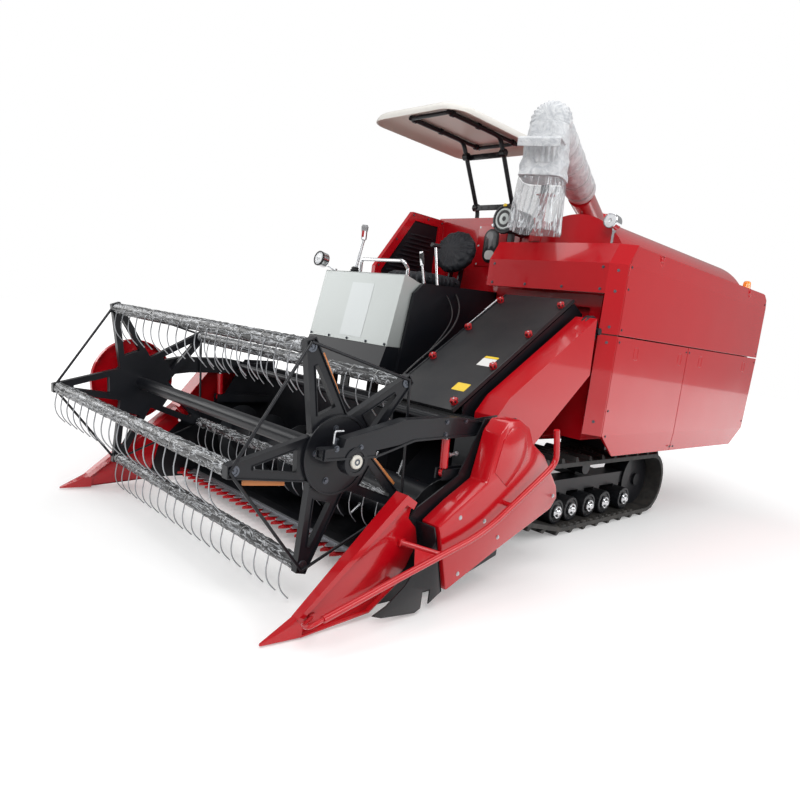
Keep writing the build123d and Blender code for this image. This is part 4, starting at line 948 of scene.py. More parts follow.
def make_guard_rail():
    """Red tube guard rail of the header's left side, with its strut, gusset and feet."""
    root, far, corner = at(1145, 709, 320), at(GUARD_RAIL, 811, 299), at(GUARD_RAIL, 630, 257)
    run = (far - root).normalized()
    flat = (corner - root) - run * (corner - root).dot(run)
    flat.normalize()
    rail = joined("guard_rail", [
        wire("hook", "guard_paint", [at(*spot) for spot in (
            (1145, 233, 76), (1215, 145, 100), (1240, 110, 112), (1290, 98, 126), (GUARD_RAIL, 120, 138),
            (GUARD_RAIL, 190, 158))], 0.009, 3, 5),
        wire("rail", "guard_paint", side_points(GUARD_RAIL, (
            (160, 149), (300, 181), (550, 240), (800, 296), (1100, 363), (1350, 502), (1590, 634),
            (1628, 668), (1640, 700), (1632, 740), (1600, 850))), 0.016, 3, 5),
        turned("strut", "guard_paint", root, far - root, (
            (-0.01, 0.013), ((far - root).length, 0.013)), 20),
        plate("gusset", "guard_paint", [root + run * 0.06, far, root + run * 0.098 + flat * 0.158],
              run.cross(flat) * 0.006),
        plate("foot", "guard_paint", side_points(1136, (
            (218, 62), (250, 62), (250, 90), (218, 90))), X * 0.012, 0.002),
        plate("pad", "guard_paint", side_points(1136, (
            (690, 304), (722, 304), (722, 338), (690, 338))), X * 0.014, 0.002),
        turned("stay", "guard_paint", at(1250, 1300, 474), X, ((0.0, 0.012), (0.05, 0.012)), 16)])
    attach(rail, "header")
    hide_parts("guard_rail_left")


KNIFE_SECTION = 0.0762        # width of one knife section, in metres


def make_knife_guards():
    """Finger bar with one pointed leaf guard for each knife section."""
    leaf = ((-12, 806), (-17, 768), (-14, 746), (-3, 716), (3, 716), (14, 746), (17, 768), (12, 806))
    model = plate("leaf", "red_paint", [at(x, back, 77) for x, back in leaf], Z * 0.016, 0.003)
    leaves = repeated("leaves", model, [X * (KNIFE_SECTION * (number - 13.5)) for number in range(28)])
    bar = plate("bar", "red_paint", [at(x, back, 76) for x, back in (
        (-1118, 780), (1118, 780), (1118, 808), (-1118, 808))], Z * 0.019, 0.001)
    guards = joined("leaf_guards", [leaves, bar])
    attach(guards, "header")
    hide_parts("knife_guards")


def make_lines():
    """Gas strut and cables beside the feeder, and the hose and fitting of the reel's left cylinder."""
    parts = [
        turned("strut", "bright_steel", at(228, 2050, 1335), Vector((0, 260, 180)), (
            (0.0, 0.007), (0.20, 0.007), (0.201, 0.012), (0.36, 0.012), (0.362, 0.006)), 16),
        wire("cable", "black_plastic", [at(*spot) for spot in (
            (-60, 2200, 1560), (60, 2150, 1480), (180, 1990, 1330), (228, 1800, 1200), (236, 1560, 1040),
            (236, 1400, 900))], 0.006, 2, 6),
        wire("cable", "black_plastic", [at(*spot) for spot in (
            (-60, 2100, 1540), (90, 2060, 1440), (190, 1900, 1270), (240, 1640, 1090))], 0.004, 2, 6)]
    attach(joined("feeder_lines", parts), "header")
    hose = wire("hose", "black_plastic", [at(*spot) for spot in (
        (1112, 1075, 585), (1114, 1130, 572), (1112, 1240, 540), (1100, 1380, 560), (1092, 1410, 640))],
        0.009, 2, 6)
    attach(hose, "header")
    fitting = turned("fitting", "bright_steel", at(1072, 1030, 690), Vector((0, 1, 0.1)), (
        (0.0, 0.012), (0.012, 0.012), (0.013, 0.008), (0.055, 0.008), (0.056, 0.011), (0.066, 0.011)), 12)
    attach(fitting, "reel_barrel_left")


def make_reel_channels():
    """Folded edges of the reel's channel-section spiders and arms."""
    parts = []
    for face, side, _ in SPIDER_FACES:
        x = face - side * 8
        star = []
        for number in range(5):
            turn = math.radians(180 - FIRST_ARM + ARM_STEP * number)
            ray = Vector((0, math.cos(turn), math.sin(turn)))
            aside = Vector((0, -math.sin(turn), math.cos(turn)))
            hub = at(x, *REEL_HUB)
            star += [hub + ray * 0.529 - aside * 0.026, hub + ray * 0.529 + aside * 0.026,
                     hub + ray * 0.1394 + aside * 0.1013]
            window = [hub + ray * 0.205 + aside * 0.052, hub + ray * 0.415 + aside * 0.009,
                      hub + ray * 0.415 - aside * 0.009, hub + ray * 0.205 - aside * 0.052]
            parts.append(plate("window_edge", "reel_paint", window, X * side * 0.006, hollow=0.003))
        parts.append(plate("star_edge", "reel_paint", star, X * side * 0.008, hollow=0.005))
        parts.append(turned("hub", "reel_paint", at(x, *REEL_HUB), X * side, (
            (-0.001, 0.165), (0.003, 0.165), (0.004, 0.164)), 64))
    edges = joined("spider_edges", parts)
    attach(edges, "reel")
    arms = []
    for x, side, _ in ARM_FACES:
        arms.append(plate("arm_edge", "reel_paint", side_points(x - side * 0.5, REEL_ARM), X * side * 0.007,
                          hollow=0.009))
        arms.append(plate("end_edge", "reel_paint", [at(x - side * c, 237, z) for c, z in (
            (1, 713), (47, 713), (47, 759), (1, 759))], Y * -0.006, hollow=0.008))
    arms.append(turned("arm_boss", "reel_paint", at(1095, *REEL_HUB), X, (
        (0.0, 0.062), (0.006, 0.062), (0.007, 0.058), (0.007, 0.046), (0.003, 0.044)), 40))
    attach(joined("arm_edges", arms), "reel_arms")


DOOR_FACE = 1050              # X of the side doors' skins
LEAN_OVER, LEAN_UNDER = 1.845, 0.735    # heights in metres where the skins begin to lean in


def make_doors():
    """Side doors whose skins lean in at the top and the foot, with the folded corner panel before them."""
    rows = {"upper_door": ((2575, 1394), (2575, 1842), (2660, 1970), (5205, 1970), (5262, 1925),
                           (5262, 1394)),
            "lower_front_door": ((2575, 1386), (3696, 1386), (3696, 585), (2780, 585), (2575, 733)),
            "lower_rear_door": ((3704, 1386), (5262, 1386), (5212, 740), (5003, 585), (3704, 585))}
    for node, outline in rows.items():
        door = plate(f"{node}_skin", "door_paint", side_points(DOOR_FACE, outline), X * -0.022, 0.002)
        for height in (LEAN_OVER, LEAN_UNDER):
            bpy.ops.object.mode_set(mode="EDIT")
            bpy.ops.mesh.select_all(action="SELECT")
            bpy.ops.mesh.bisect(plane_co=(0, 0, height), plane_no=Z)
            bpy.ops.object.mode_set(mode="OBJECT")
        for vertex in door.data.vertices:
            if vertex.co.x > 1.04:
                vertex.co.x -= (max(0, vertex.co.z - LEAN_OVER) * 0.074
                                + max(0, LEAN_UNDER - vertex.co.z) * 0.08)
        settle(door, f"{node}_skin", "door_paint", 2)
        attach(door, node)
        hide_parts(node)
    plan = ((945, 2500), (1048, 2563), (1048, 2570), (1036, 2570), (945, 2516))
    panels = []
    for finish, low, high, sunk, lean in (    # foot, top, whether it is set in, and its lean back
            ("door_paint", 730, 1386, 0, 0), ("door_paint", 1394, 1842, 0, 0),
            # The sunk strip between the panels is a near-black sheet of painted shade.
            ("recess_shade", 1384, 1396, 1, 0), ("door_paint", 1842, 1978, 0, 88)):
        sections = [[at(x - 3 * sunk, back + 5 * sunk + shift, z) for x, back in plan]
                    for z, shift in ((low, 0), (high, lean))]
        panels.append(drawn("panel", finish, sections, 10))
    corner = joined("corner_panels", panels)
    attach(corner, "chassis")
    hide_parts("corner_panel")


# X of the roof frame's tubes and the height of their level runs, and the same of the tube's saddle.
ROOF_POSTS, ROOF_TUBE = (-690, -310), 2822
SADDLE, SADDLE_TOP = 275, 2524


def make_canopy_frame():
    """Bent tube frame of the sun roof with two drilled cross bars, whose holes are thin discs of painted
    shade.
    """
    z = ROOF_TUBE
    first, last = ROOF_POSTS
    width = last - first
    parts = []
    for x in ROOF_POSTS:
        parts.append(wire("post", "black_paint", side_points(x, (
            (3080, 2243), (3080, 2285), (3074, 2315), (3050, 2355), (2930, 2560), (2810, 2765),
            (2785, 2800), (2745, z), (2600, z), (2150, z))), 0.018, 3, 6))
        parts.append(turned("tail", "black_paint", at(x, 2700, z), Y, ((0.0, 0.016), (0.29, 0.016)), 20))
        parts.append(plate("foot", "black_paint", [at(x + a, b, 2240) for a, b in (
            (-40, 3040), (40, 3040), (40, 3120), (-40, 3120))], Z * 0.012, 0.002))
    for back in (2165, 2975):
        parts.append(turned("cross", "black_paint", at(first, back, z), X, (
            (0.0, 0.015), (width / 1000, 0.015)), 20))
    holes = []
    for back, middle in ((3030, 2340), (2855, 2712)):
        parts.append(plate("bar", "black_paint", [at(a, back, middle + b) for a, b in (
            (first, -22), (last, -22), (last, 22), (first, 22))], Y * 0.010, 0.001))
        # Each hole is a thin near-black disc of painted shade on the bar.
        for share in (0.2, 0.4, 0.6, 0.8):
            holes.append(turned("hole", "recess_shade", at(first + width * share, back - 0.5, middle), -Y, (
                (0.0, 0.009), (0.0006, 0.009)), 16))
    frame_piece = joined("roof_frame", parts + holes)
    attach(frame_piece, "chassis")
    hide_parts("canopy_frame")


def make_saddle():
    """Post and cradle that carry the unloading tube."""
    x, top = SADDLE, SADDLE_TOP
    saddle = joined("tube_saddle", [
        plate("post", "black_paint", [at(x + a, b, 1982) for a, b in (
            (-30, 2625), (30, 2625), (30, 2640), (-30, 2640))], Z * 0.53, 0.002),
        plate("pad", "black_paint", [at(x + a, b, 1981) for a, b in (
            (-45, 2600), (45, 2600), (45, 2680), (-45, 2680))], Z * 0.008, 0.001),
        plate("cradle", "black_paint", [at(a, 2600, z) for a, z in (
            (x - 60, top - 12), (x + 150, top - 12), (x + 150, top + 22), (x + 142, top + 22),
            (x + 142, top), (x - 52, top), (x - 52, top + 22), (x - 60, top + 22))], Y * 0.065, 0.001)])
    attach(saddle, "chassis")


PULLEYS = (                   # back, height, radius and the X of each pulley's two faces
    (2900, 1500, 175, 900, 930), (3350, 1120, 110, 900, 930), (3350, 1120, 90, 938, 962),
    (3760, 860, 140, 938, 962), (4330, 1010, 120, 900, 930), (4860, 820, 85, 900, 930),
    (2900, 1500, 95, 938, 962), (3880, 1560, 130, 938, 962))
BELTS = ((0, 1, 905), (2, 3, 940), (4, 5, 905), (6, 7, 940))   # two pulleys and the X of each belt


def make_drives():
    """Pulleys and belts of the housing's left wall, behind the doors."""
    parts = []
    for back, z, radius, low, high in PULLEYS:
        wide, reach = radius / 1000, (high - low) / 1000
        parts.append(turned("pulley", "black_paint", at(low, back, z), X, (
            (0.0, wide), (0.003, wide), (0.006, wide - 0.006), (reach - 0.006, wide - 0.006),
            (reach - 0.003, wide), (reach, wide), (reach, wide - 0.012), (reach - 0.008, wide - 0.016),
            (reach - 0.008, 0.034), (reach + 0.006, 0.030), (reach + 0.006, 0.018), (reach + 0.012, 0.018)),
            40))
    for first, second, low in BELTS:
        ends = [(at(low, PULLEYS[n][0], PULLEYS[n][1]), (PULLEYS[n][2] + 3) / 1000)
                for n in (first, second)]
        run = ends[1][0] - ends[0][0]
        ahead = run.normalized()
        aside = X.cross(ahead)
        open_angle = math.acos((ends[0][1] - ends[1][1]) / run.length)
        loop = []
        for (middle, radius), start, sweep in zip(ends, (open_angle, -open_angle), (
                2 * math.pi - 2 * open_angle, 2 * open_angle)):
            for step in range(17):
                angle = start + sweep * step / 16
                loop.append(middle + (ahead * math.cos(angle) + aside * math.sin(angle)) * radius)
        parts.append(plate("belt", "rubber", loop, X * 0.019, hollow=0.008))
    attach(joined("belt_drives", parts), "chassis")


def make_drive_pulley():
    """Belt pulley on the end of the feeder's shaft."""
    hub = at(900, 2420, 1400)
    pulley = turned("feeder_pulley", "black_paint", hub, X, (
        (0.0, 0.090), (0.002, 0.095), (0.008, 0.095), (0.013, 0.084), (0.023, 0.084), (0.028, 0.095),
        (0.034, 0.095), (0.036, 0.090), (0.036, 0.074), (0.026, 0.070), (0.026, 0.032), (0.038, 0.030),
        (0.038, 0.014)), 48)
    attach(pulley, "chassis")


# ---------------------------------------------------------------- spout in its packing

TURRET, SPOUT = (-450, 4650), (480, 2300)     # X and back of the unloading tube's two ends
TUBE_FOOT, TUBE_RISE = 2480, 220              # height of its axis at the turret, and its rise to the spout
BODY_FOOT, FILM_TOP, FILM_LENGTH = 2.332, 2.327, 0.340    # heights and length in metres


def tube_point(share):
    """Point of the unloading tube's axis, as a share of the way from the turret to the spout."""
    return at(TURRET[0] + (SPOUT[0] - TURRET[0]) * share, TURRET[1] + (SPOUT[1] - TURRET[1]) * share,
              TUBE_FOOT + TUBE_RISE * share)


def spout_axes():
    """End of the tube's axis, and its directions: along it, level with it, across it and out of its top."""
    end = tube_point(1)
    along = (end - tube_point(0)).normalized()
    level = Vector((along.x, along.y, 0)).normalized()
    across = Vector((-level.y, level.x, 0))
    return end, along, level, across, along.cross(across)


def make_spout():
    """Tube, domed end and spout in white foam sheet, with a short beak."""
    end, along, level, across, lift = spout_axes()

    def wrap(share, angle):
        middle = tube_point(0.45).lerp(tube_point(0.985), share)
        spiral = math.sin(share * 52 + angle)
        spot = Vector((share * 14, math.cos(angle), math.sin(angle)))
        radius = 0.1235 + 0.003 * spiral + creased(spot, 1.8, 0.005)
        if share < 0.02 or share > 0.985:
            radius *= 0.94
        return middle + (across * math.cos(angle) + lift * math.sin(angle)) * radius

    def dome(share, angle):
        spread, reach = math.sin(math.pi * share), -math.cos(math.pi * share)
        depth = 0.0045 if reach > -0.2 else 0.0009
        pleat = depth * math.sin(angle * 26 + 2 * math.sin(angle * 3)) * spread
        spot = Vector((reach * 2, math.cos(angle) * 2, math.sin(angle) * 2))
        radius = 0.134 * spread + pleat + creased(spot, 1.3, 0.004) * spread
        outward = across * math.cos(angle) + lift * math.sin(angle)
        return end + along * (0.098 * reach) + outward * max(radius, 0.001)

    def body(share, angle):
        square = 0.15 + 0.85 * share
        c, s = math.cos(angle), math.sin(angle)
        power = 2 + 3.2 * square
        fit = (abs(c) ** power + abs(s) ** power) ** (-1 / power)
        wide, deep = 0.131 + 0.021 * share, 0.121 + 0.021 * share
        top = end.z - 0.02
        z = top + (BODY_FOOT - top) * share
        spot = Vector((c * 1.4, s * 1.4, z * 6))
        diagonal = 0.0035 * math.sin(z * 60 + angle * 3)
        push = creased(spot, 2.2, 0.006) + diagonal * (1 if share > 0.4 else 0.3)
        if share in (0, 1):
            push -= 0.012
        return (Vector((end.x, end.y, z)) + across * (c * fit * (wide + push - 0.004))
                + level * (s * fit * (deep + push - 0.004)))

    parts = [shaped("tube_wrap", "foam", 40, 150, wrap), shaped("dome", "foam", 156, 34, dome, angle=70),
             shaped("spout_body", "foam", 96, 70, body, angle=60)]

    def ahead(reach, aside, z):
        return Vector((end.x, end.y, 0)) + level * reach + across * aside + Z * z

    beak = [ahead(reach, -0.135, z) for reach, z in (
        (0.06, 2.553), (0.19, 2.551), (0.232, 2.545), (0.246, 2.530), (0.240, 2.483), (0.232, 2.483),
        (0.234, 2.522), (0.222, 2.534), (0.06, 2.536))]
    parts.append(plate("beak", "foam", beak, across * 0.27, 0.003))

    def pleats(share, angle):
        fold = 0.006 * math.sin(angle * 22) * (0.3 + 0.7 * share)
        c, s = math.cos(angle), math.sin(angle)
        return ahead(0.055 + (0.135 - 0.05 * share + fold) * max(s, -0.3), (0.128 + fold) * c,
                     2.545 - 0.13 * share)

    parts.append(shaped("under_beak", "foam", 132, 12, pleats, angle=70))
    spout = joined("wrapped_spout", parts)
    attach(spout, "unloader")
    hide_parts("spout_wrap")


def make_spout_film():
    """Clear film that hangs in gathers below the spout, and the ties round the wrapped tube."""
    end, along, level, across, _ = spout_axes()

    def skirt(share, angle):
        c, s = math.cos(angle), math.sin(angle)
        fit = (abs(c) ** 5 + abs(s) ** 5) ** -0.2
        fold = (0.0015 + 0.0075 * share) * (math.sin(angle * 11 + 1.5 * math.sin(angle * 2)) +
                                           0.5 * math.sin(angle * 27 + share * 3))
        z = FILM_TOP - 0.330 * share
        return (Vector((end.x, end.y, z)) + across * (c * fit * (0.144 + 0.012 * share + fold))
                + level * (s * fit * (0.134 + 0.012 * share + fold)))

    film = shaped("spout_skirt", "film", 180, 22, skirt, ends="NOTHING", angle=70)
    thickened(film, 0.0008)
    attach(film, "unloader")
    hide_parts("spout_film")
    ties = []
    for share in (0.50, 0.62, 0.74, 0.86):
        ties.append(turned("tie", "tie_string", tube_point(share), along, (
            (-0.003, 0.118), (-0.003, 0.1275), (0.003, 0.1275), (0.003, 0.118)), 40))
    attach(joined("tube_ties", ties), "unloader")


# ---------------------------------------------------------------- seat

def stuffed(piece, cap):
    """Blows a closed cover up like a filled cushion; no point goes farther than the cap."""
    only(piece)
    even = piece.modifiers.new("even", "REMESH")
    even.mode = "VOXEL"
    even.voxel_size = 0.007
    bpy.ops.object.modifier_apply(modifier=even.name)
    begun = [vertex.co.copy() for vertex in piece.data.vertices]
    cloth = piece.modifiers.new("fill", "CLOTH")
    cloth.settings.use_pressure = True
    cloth.settings.uniform_pressure_force = 4
    cloth.settings.effector_weights.gravity = 0
    cloth.point_cache.frame_start, cloth.point_cache.frame_end = 1, 20
    for number in range(1, 21):
        bpy.context.scene.frame_set(number)
    bpy.ops.object.modifier_apply(modifier=cloth.name)
    bpy.context.scene.frame_set(1)
    for vertex, start in zip(piece.data.vertices, begun):
        move = vertex.co - start
        if move.length > cap:
            vertex.co = start + move.normalized() * cap


SEAT = (-500, 2330, 1640)     # middle of the seat cushion
BACK_WIDTH, BACK_HEIGHT = 0.212, 0.180    # half sizes of the round back, in metres


def make_seat():
    """Seat cushion under its thin gathered black cover."""
    middle = at(*SEAT)
    bpy.ops.object.select_all(action="DESELECT")
    bpy.ops.mesh.primitive_cube_add(size=1, location=middle, scale=(0.44, 0.44, 0.078))
    cushion = bpy.context.object
    bpy.ops.object.transform_apply(location=True, rotation=True, scale=True)
    bpy.ops.object.mode_set(mode="EDIT")
    bpy.ops.mesh.select_all(action="SELECT")
    bpy.ops.mesh.bevel(offset=0.032, segments=4)
    bpy.ops.object.mode_set(mode="OBJECT")
    settle(cushion, "seat_cushion_cover", "cover", 60)
    stuffed(cushion, 0.009)
    for vertex in cushion.data.vertices:
        spot, from_middle = vertex.co, vertex.co - middle
        side = max(abs(from_middle.x), abs(from_middle.y)) / 0.22
        gather = 0.004 * math.sin(math.atan2(from_middle.y, from_middle.x) * 30) * max(0, side - 0.5) * 2
        vertex.co = spot + vertex.normal * (creased(spot, 9, 0.006) + gather - 0.002)
    settle(cushion, "seat_cushion_cover", "cover", 180)
    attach(cushion, "chassis")
    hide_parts("seat_cushion")


def make_seat_back():
    """Round seat back under its cover, gathered from one point, and the seat's bolts."""
    facing = Vector((0, -1, 0.2)).normalized()
    upward = Vector((0, 0.2, 1)).normalized()
    centre = at(SEAT[0], 2600, 1915) - facing * 0.047

    def disc(share, angle):
        reach = (-1, -0.93, -0.6, 0, 0.6, 0.93, 1)[round(share * 6)]
        wide = (0.80, 0.92, 0.985, 1.0, 0.985, 0.92, 0.80)[round(share * 6)]
        return (centre + facing * (0.040 * reach) + X * (BACK_WIDTH * wide * math.cos(angle))
                + upward * (BACK_HEIGHT * wide * math.sin(angle)))

    back = shaped("seat_back_cover", "cover", 56, 5, disc, angle=80)
    stuffed(back, 0.012)
    for vertex in back.data.vertices:
        spot = vertex.co - centre
        across, up = spot.x / BACK_WIDTH, spot.dot(upward) / BACK_HEIGHT
        out = math.hypot(across + 0.12, up - 0.1)
        angle = math.atan2(up - 0.1, across + 0.12)
        fold = 0.0042 * math.sin(angle * 17 + 2 * math.sin(angle * 5)) * min(1, out * 1.6)
        front = 1 if spot.dot(facing) > 0 else 0.3
        vertex.co += vertex.normal * (fold * front + creased(vertex.co, 8, 0.003) - 0.003)
    settle(back, "seat_back_cover", "cover", 180)
    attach(back, "chassis")
    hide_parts("seat_back")
    bolts("seat_bolts", "chassis", -Y, [at(SEAT[0] + x, 2240, 1575) for x in (-150, 150)], 0.016)


# ---------------------------------------------------------------- canopy and operator's place

def make_canopy():
    """Moulded sun roof: pale outside, with painted pinkish shade on its underside, with a rolled rim, and
    the clamps on its frame.
    """
    rows = ((684, 944, 92, 2842), (700, 965, 100, 2840.5), (772, 1040, 116, 2831), (822, 1092, 132, 2811),
            (850, 1120, 140, 2786), (863, 1133, 143, 2772), (870, 1140, 146, 2770),
            (878, 1148, 149, 2772.5), (879.5, 1149.5, 150, 2780), (868, 1138, 147, 2797),
            (842, 1112, 140, 2818), (792, 1060, 122, 2837), (720, 985, 106, 2848), (690, 950, 98, 2850))
    middle = at(-520, 2545, 0)

    def shell(share, angle):
        width, depth, corner, z = rows[round(share * (len(rows) - 1))]
        c, s = math.cos(angle), math.sin(angle)
        half = Vector((width / 2, depth / 2))
        reach = min(half.x / max(abs(c), 1e-6), half.y / max(abs(s), 1e-6))
        x, y = c * reach, s * reach
        inner = Vector((half.x - corner, half.y - corner))
        if abs(x) > inner.x and abs(y) > inner.y:
            pull = Vector((abs(x) - inner.x, abs(y) - inner.y))
            pull = pull.normalized() * corner
            x, y = math.copysign(inner.x + pull.x, x), math.copysign(inner.y + pull.y, y)
        return middle + Vector((x, y, z)) / 1000

    roof = shaped("canopy_roof", "canopy", 144, len(rows) - 2, shell, angle=40)
    # The underside faces take the darker copy of the canopy colour as painted shade.
    roof.data.materials.append(FINISH["canopy_underside_shade"])
    rim, top = 2.7712, 2.85
    for face in roof.data.polygons:
        outward = face.center - middle - Z * face.center.z
        inside = face.normal.z < -0.15 or (face.center.z < top and face.normal.dot(outward) < 0)
        face.material_index = 1 if inside and face.center.z > rim else 0
    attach(roof, "chassis")
    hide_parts("canopy")
    clamps = []
    for x in ROOF_POSTS:
        for back, z in ((3052, 2345), (2838, 2716)):
            clamps.append(turned("clamp", "black_paint", at(x - 26, back, z), X, (
                (0.0, 0.026), (0.003, 0.030), (0.049, 0.030), (0.052, 0.026)), 24))
        for back in (2200, 2500, 2940):
            clamps.append(turned("clamp", "black_paint", at(x, back, ROOF_TUBE) - Y * 0.016, Y, (
                (0.0, 0.022), (0.002, 0.024), (0.030, 0.024), (0.032, 0.022)), 24))
    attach(joined("canopy_clamps", clamps), "chassis")


def make_controls():
    """Grips and boots of the levers, the hand rail's feet, amber mark, and the console's bolts and band."""
    parts = [
        turned("pistol", "grip_grey", at(-600, 1760, 1842), Vector((0.07, -0.08, 0.9)), (
            (0.0, 0.012), (0.006, 0.017), (0.045, 0.019), (0.075, 0.024), (0.095, 0.026), (0.110, 0.018)),
            20),
        turned("trigger", "knob", at(-590, 1737, 1862), Vector((0.1, -0.05, 0.9)), (
            (0.0, 0.006), (0.004, 0.008), (0.040, 0.009), (0.046, 0.006)), 12),
        wire("second_rod", "chrome", [at(-640, 1752, 1600), at(-618, 1756, 1720), at(-598, 1764, 1846)],
             0.006, 2),
        turned("boot", "black_plastic", at(-640, 1745, 1605), Z, (
            (0.0, 0.040), (0.010, 0.040), (0.014, 0.030), (0.022, 0.034), (0.028, 0.025), (0.038, 0.028),
            (0.046, 0.016)), 24),
        turned("knob_grip", "black_plastic", at(-109.5, 1893, 1696), Vector((-5, -20, 90)), (
            (0.0, 0.011), (0.010, 0.015), (0.080, 0.017), (0.097, 0.013), (0.101, 0.006)), 20),
        turned("tee", "black_plastic", at(-130, 1978, 1855), Y, (
            (0.0, 0.012), (0.003, 0.0155), (0.081, 0.0155), (0.084, 0.012)), 20)]
    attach(joined("lever_grips", parts), "chassis")
    feet = []
    for x, back in ((-560, 1730), (-130, 1780)):
        feet.append(turned("rail_foot", "chrome", at(x, back, 1590), Z, (
            (0.0, 0.024), (0.004, 0.024), (0.006, 0.016), (0.020, 0.015)), 24))
    feet.append(turned("amber_mark", "orange_lens", at(-190, 1770, 1588), Z, (
        (0.0, 0.020), (0.008, 0.022), (0.020, 0.020), (0.028, 0.012)), 20))
    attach(joined("rail_feet", feet), "chassis")
    lean = Vector((0, -487, 90)).normalized()
    spots = [at(x, 1598, 1140) for x in (-880, -670, -470, -270, -80)]
    bolts("console_bolts", "chassis", -Y, spots, 0.011, "steel")
    band = plate("console_band", "console_band", [
        at(-560, 1605.2, 1160), at(-330, 1605.2, 1160), at(-330, 1674.5, 1535), at(-560, 1674.5, 1535)],
        lean * 0.0006, 0.0)
    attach(band, "chassis")


def make_lamps():
    """Bezels, one chrome and one black, and ribbed glasses of the round work lamps, and the beacon's ribbed
    cap.
    """
    for name, finish, place, axis, radius in (
            ("console_lamp", "black_plastic", at(-960, 1655, 1690), Vector((0, -55, 10)), 0.055),
            ("hood_lamp", "chrome", at(820, 2650, 2137), Vector((0, -62, 4)), 0.050)):
        sunk = axis.normalized() * 0.004
        bezel = turned(name, finish, place - sunk, axis, (
            (0.0, radius + 0.001), (0.010, radius + 0.001), (0.013, radius - 0.003),
            (0.012, radius - 0.007), (0.006, radius - 0.009)), 40)
        glass = turned("glass", "clear_lens", place, axis, (
            (-0.002, radius - 0.006), (0.003, radius - 0.007), (0.007, radius * 0.7), (0.009, radius * 0.4),
            (0.0095, radius * 0.1)), 40)
        bulb = turned("cluster", "chrome", place + sunk, axis, (
            (0.0, radius * 0.28), (0.0065, radius * 0.26), (0.0075, radius * 0.18), (0.004, radius * 0.1)),
            20)
        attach(joined(name, [bezel, glass, bulb]), "chassis")
    foot = at(945, 4980, 1979)
    cap = turned("beacon_glass", "orange_lens", foot, Z, (
        (0.0, 0.0375), (0.012, 0.0375), (0.014, 0.034), (0.062, 0.031), (0.074, 0.026), (0.080, 0.014)), 32)
    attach(cap, "chassis")
    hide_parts("beacon")


CLEANER_FACE = (-85, 2690, 2170)


def make_cleaner():
    """Air cleaner's ringed cover with its silver disc, yellow clip and two steel clips."""
    face = at(*CLEANER_FACE)
    parts = [
        turned("tyre", "black_plastic", face + Y * 0.012, -Y, (
            (0.0, 0.111), (0.014, 0.112), (0.022, 0.106), (0.024, 0.094), (0.017, 0.088), (0.017, 0.080)),
            56),
        turned("dish", "silver_paint", face, -Y, (
            (0.0, 0.082), (0.009, 0.082), (0.014, 0.076), (0.014, 0.066), (0.007, 0.060), (0.007, 0.046),
            (0.012, 0.042), (0.013, 0.020), (0.009, 0.016)), 56)]
    for angle in (90, 210, 330):
        out = Vector((math.cos(math.radians(angle)), 0, math.sin(math.radians(angle))))
        aside = Vector((-out.z, 0, out.x))
        spot = face + out * 0.103 - Y * 0.012
        parts.append(plate("clip", "yellow_label" if angle == 90 else "bright_steel", [
            spot - aside * 0.014 - out * 0.012, spot + aside * 0.014 - out * 0.012,
            spot + aside * 0.010 + out * 0.008, spot - aside * 0.010 + out * 0.008], Y * -0.014, 0.002))
    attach(joined("cleaner_cover", parts), "chassis")


WINDOW_MIDDLE = (-395, 2959, 2010)


def make_tank_window():
    """Sight window of the grain tank in its bolted red panel."""
    middle = at(*WINDOW_MIDDLE)
    layers = (                # finish, way out, drop, width, height, corner, steps, thickness and bevel
        ("red_paint", 0, 0, 0.30, 0.34, 0.012, 4, 0.006, 0.0015),
        ("black_plastic", 0.006, 0, 0.150, 0.275, 0.072, 8, 0.006, 0.002),
        ("dark_glass", 0.011, 0, 0.118, 0.243, 0.056, 8, 0.003, 0.001),
        ("white_label", 0.0135, 0.075, 0.096, 0.075, 0.034, 6, 0.0015, 0.0))
    window = []
    for finish, out, drop, width, height, corner, steps, thickness, bevel in layers:
        edge = rounded(middle - Y * out - Z * drop, X, Z, width, height, corner, steps)
        window.append(plate("layer", finish, edge, Y * -thickness, bevel))
    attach(joined("tank_window", window), "chassis")
    places = [middle - Y * 0.006 + X * x + Z * z for x in (-0.13, 0.13) for z in (-0.15, 0, 0.15)]
    bolts("window_bolts", "chassis", -Y, places, 0.010)


LOUVRES, LOUVRE_FOOT, LOUVRE_STEP = 12, 1640, 36


def make_louvres():
    """Pressed louvres of the black sheet beside the operator, and the screws round it."""
    rows = []
    for number in range(LOUVRES):
        z = LOUVRE_FOOT + LOUVRE_STEP * number
        low = 2330 + max(0, z - 1700) * 0.7
        high = min(low + 330, 2840)
        middle, half = at(-950, (low + high) / 2, z), (high - low) / 2000

        def scoop(share, angle, middle=middle, half=half):
            end = 1 - abs(share * 2 - 1) ** 6
            depth = 0.011 * end * max(0, math.cos(angle))
            rise = 0.011 * math.sin(angle) * (0.4 + 0.6 * end)
            return middle + Vector((depth, (share * 2 - 1) * half, rise))

        rows.append(shaped("louvre", "black_paint", 12, 14, scoop, angle=60))
    sheet = joined("louvres", rows)
    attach(sheet, "chassis")
    edge = [at(-935, back, z)
            for back, z in ((2235, 1600), (2235, 1730), (2400, 1965), (2560, 2190), (2740, 2190),
                            (2915, 2190), (2915, 1900), (2915, 1600))]
    bolts("guard_bolts", "chassis", X, edge, 0.011, "steel")


# ---------------------------------------------------------------- body panels and tracks

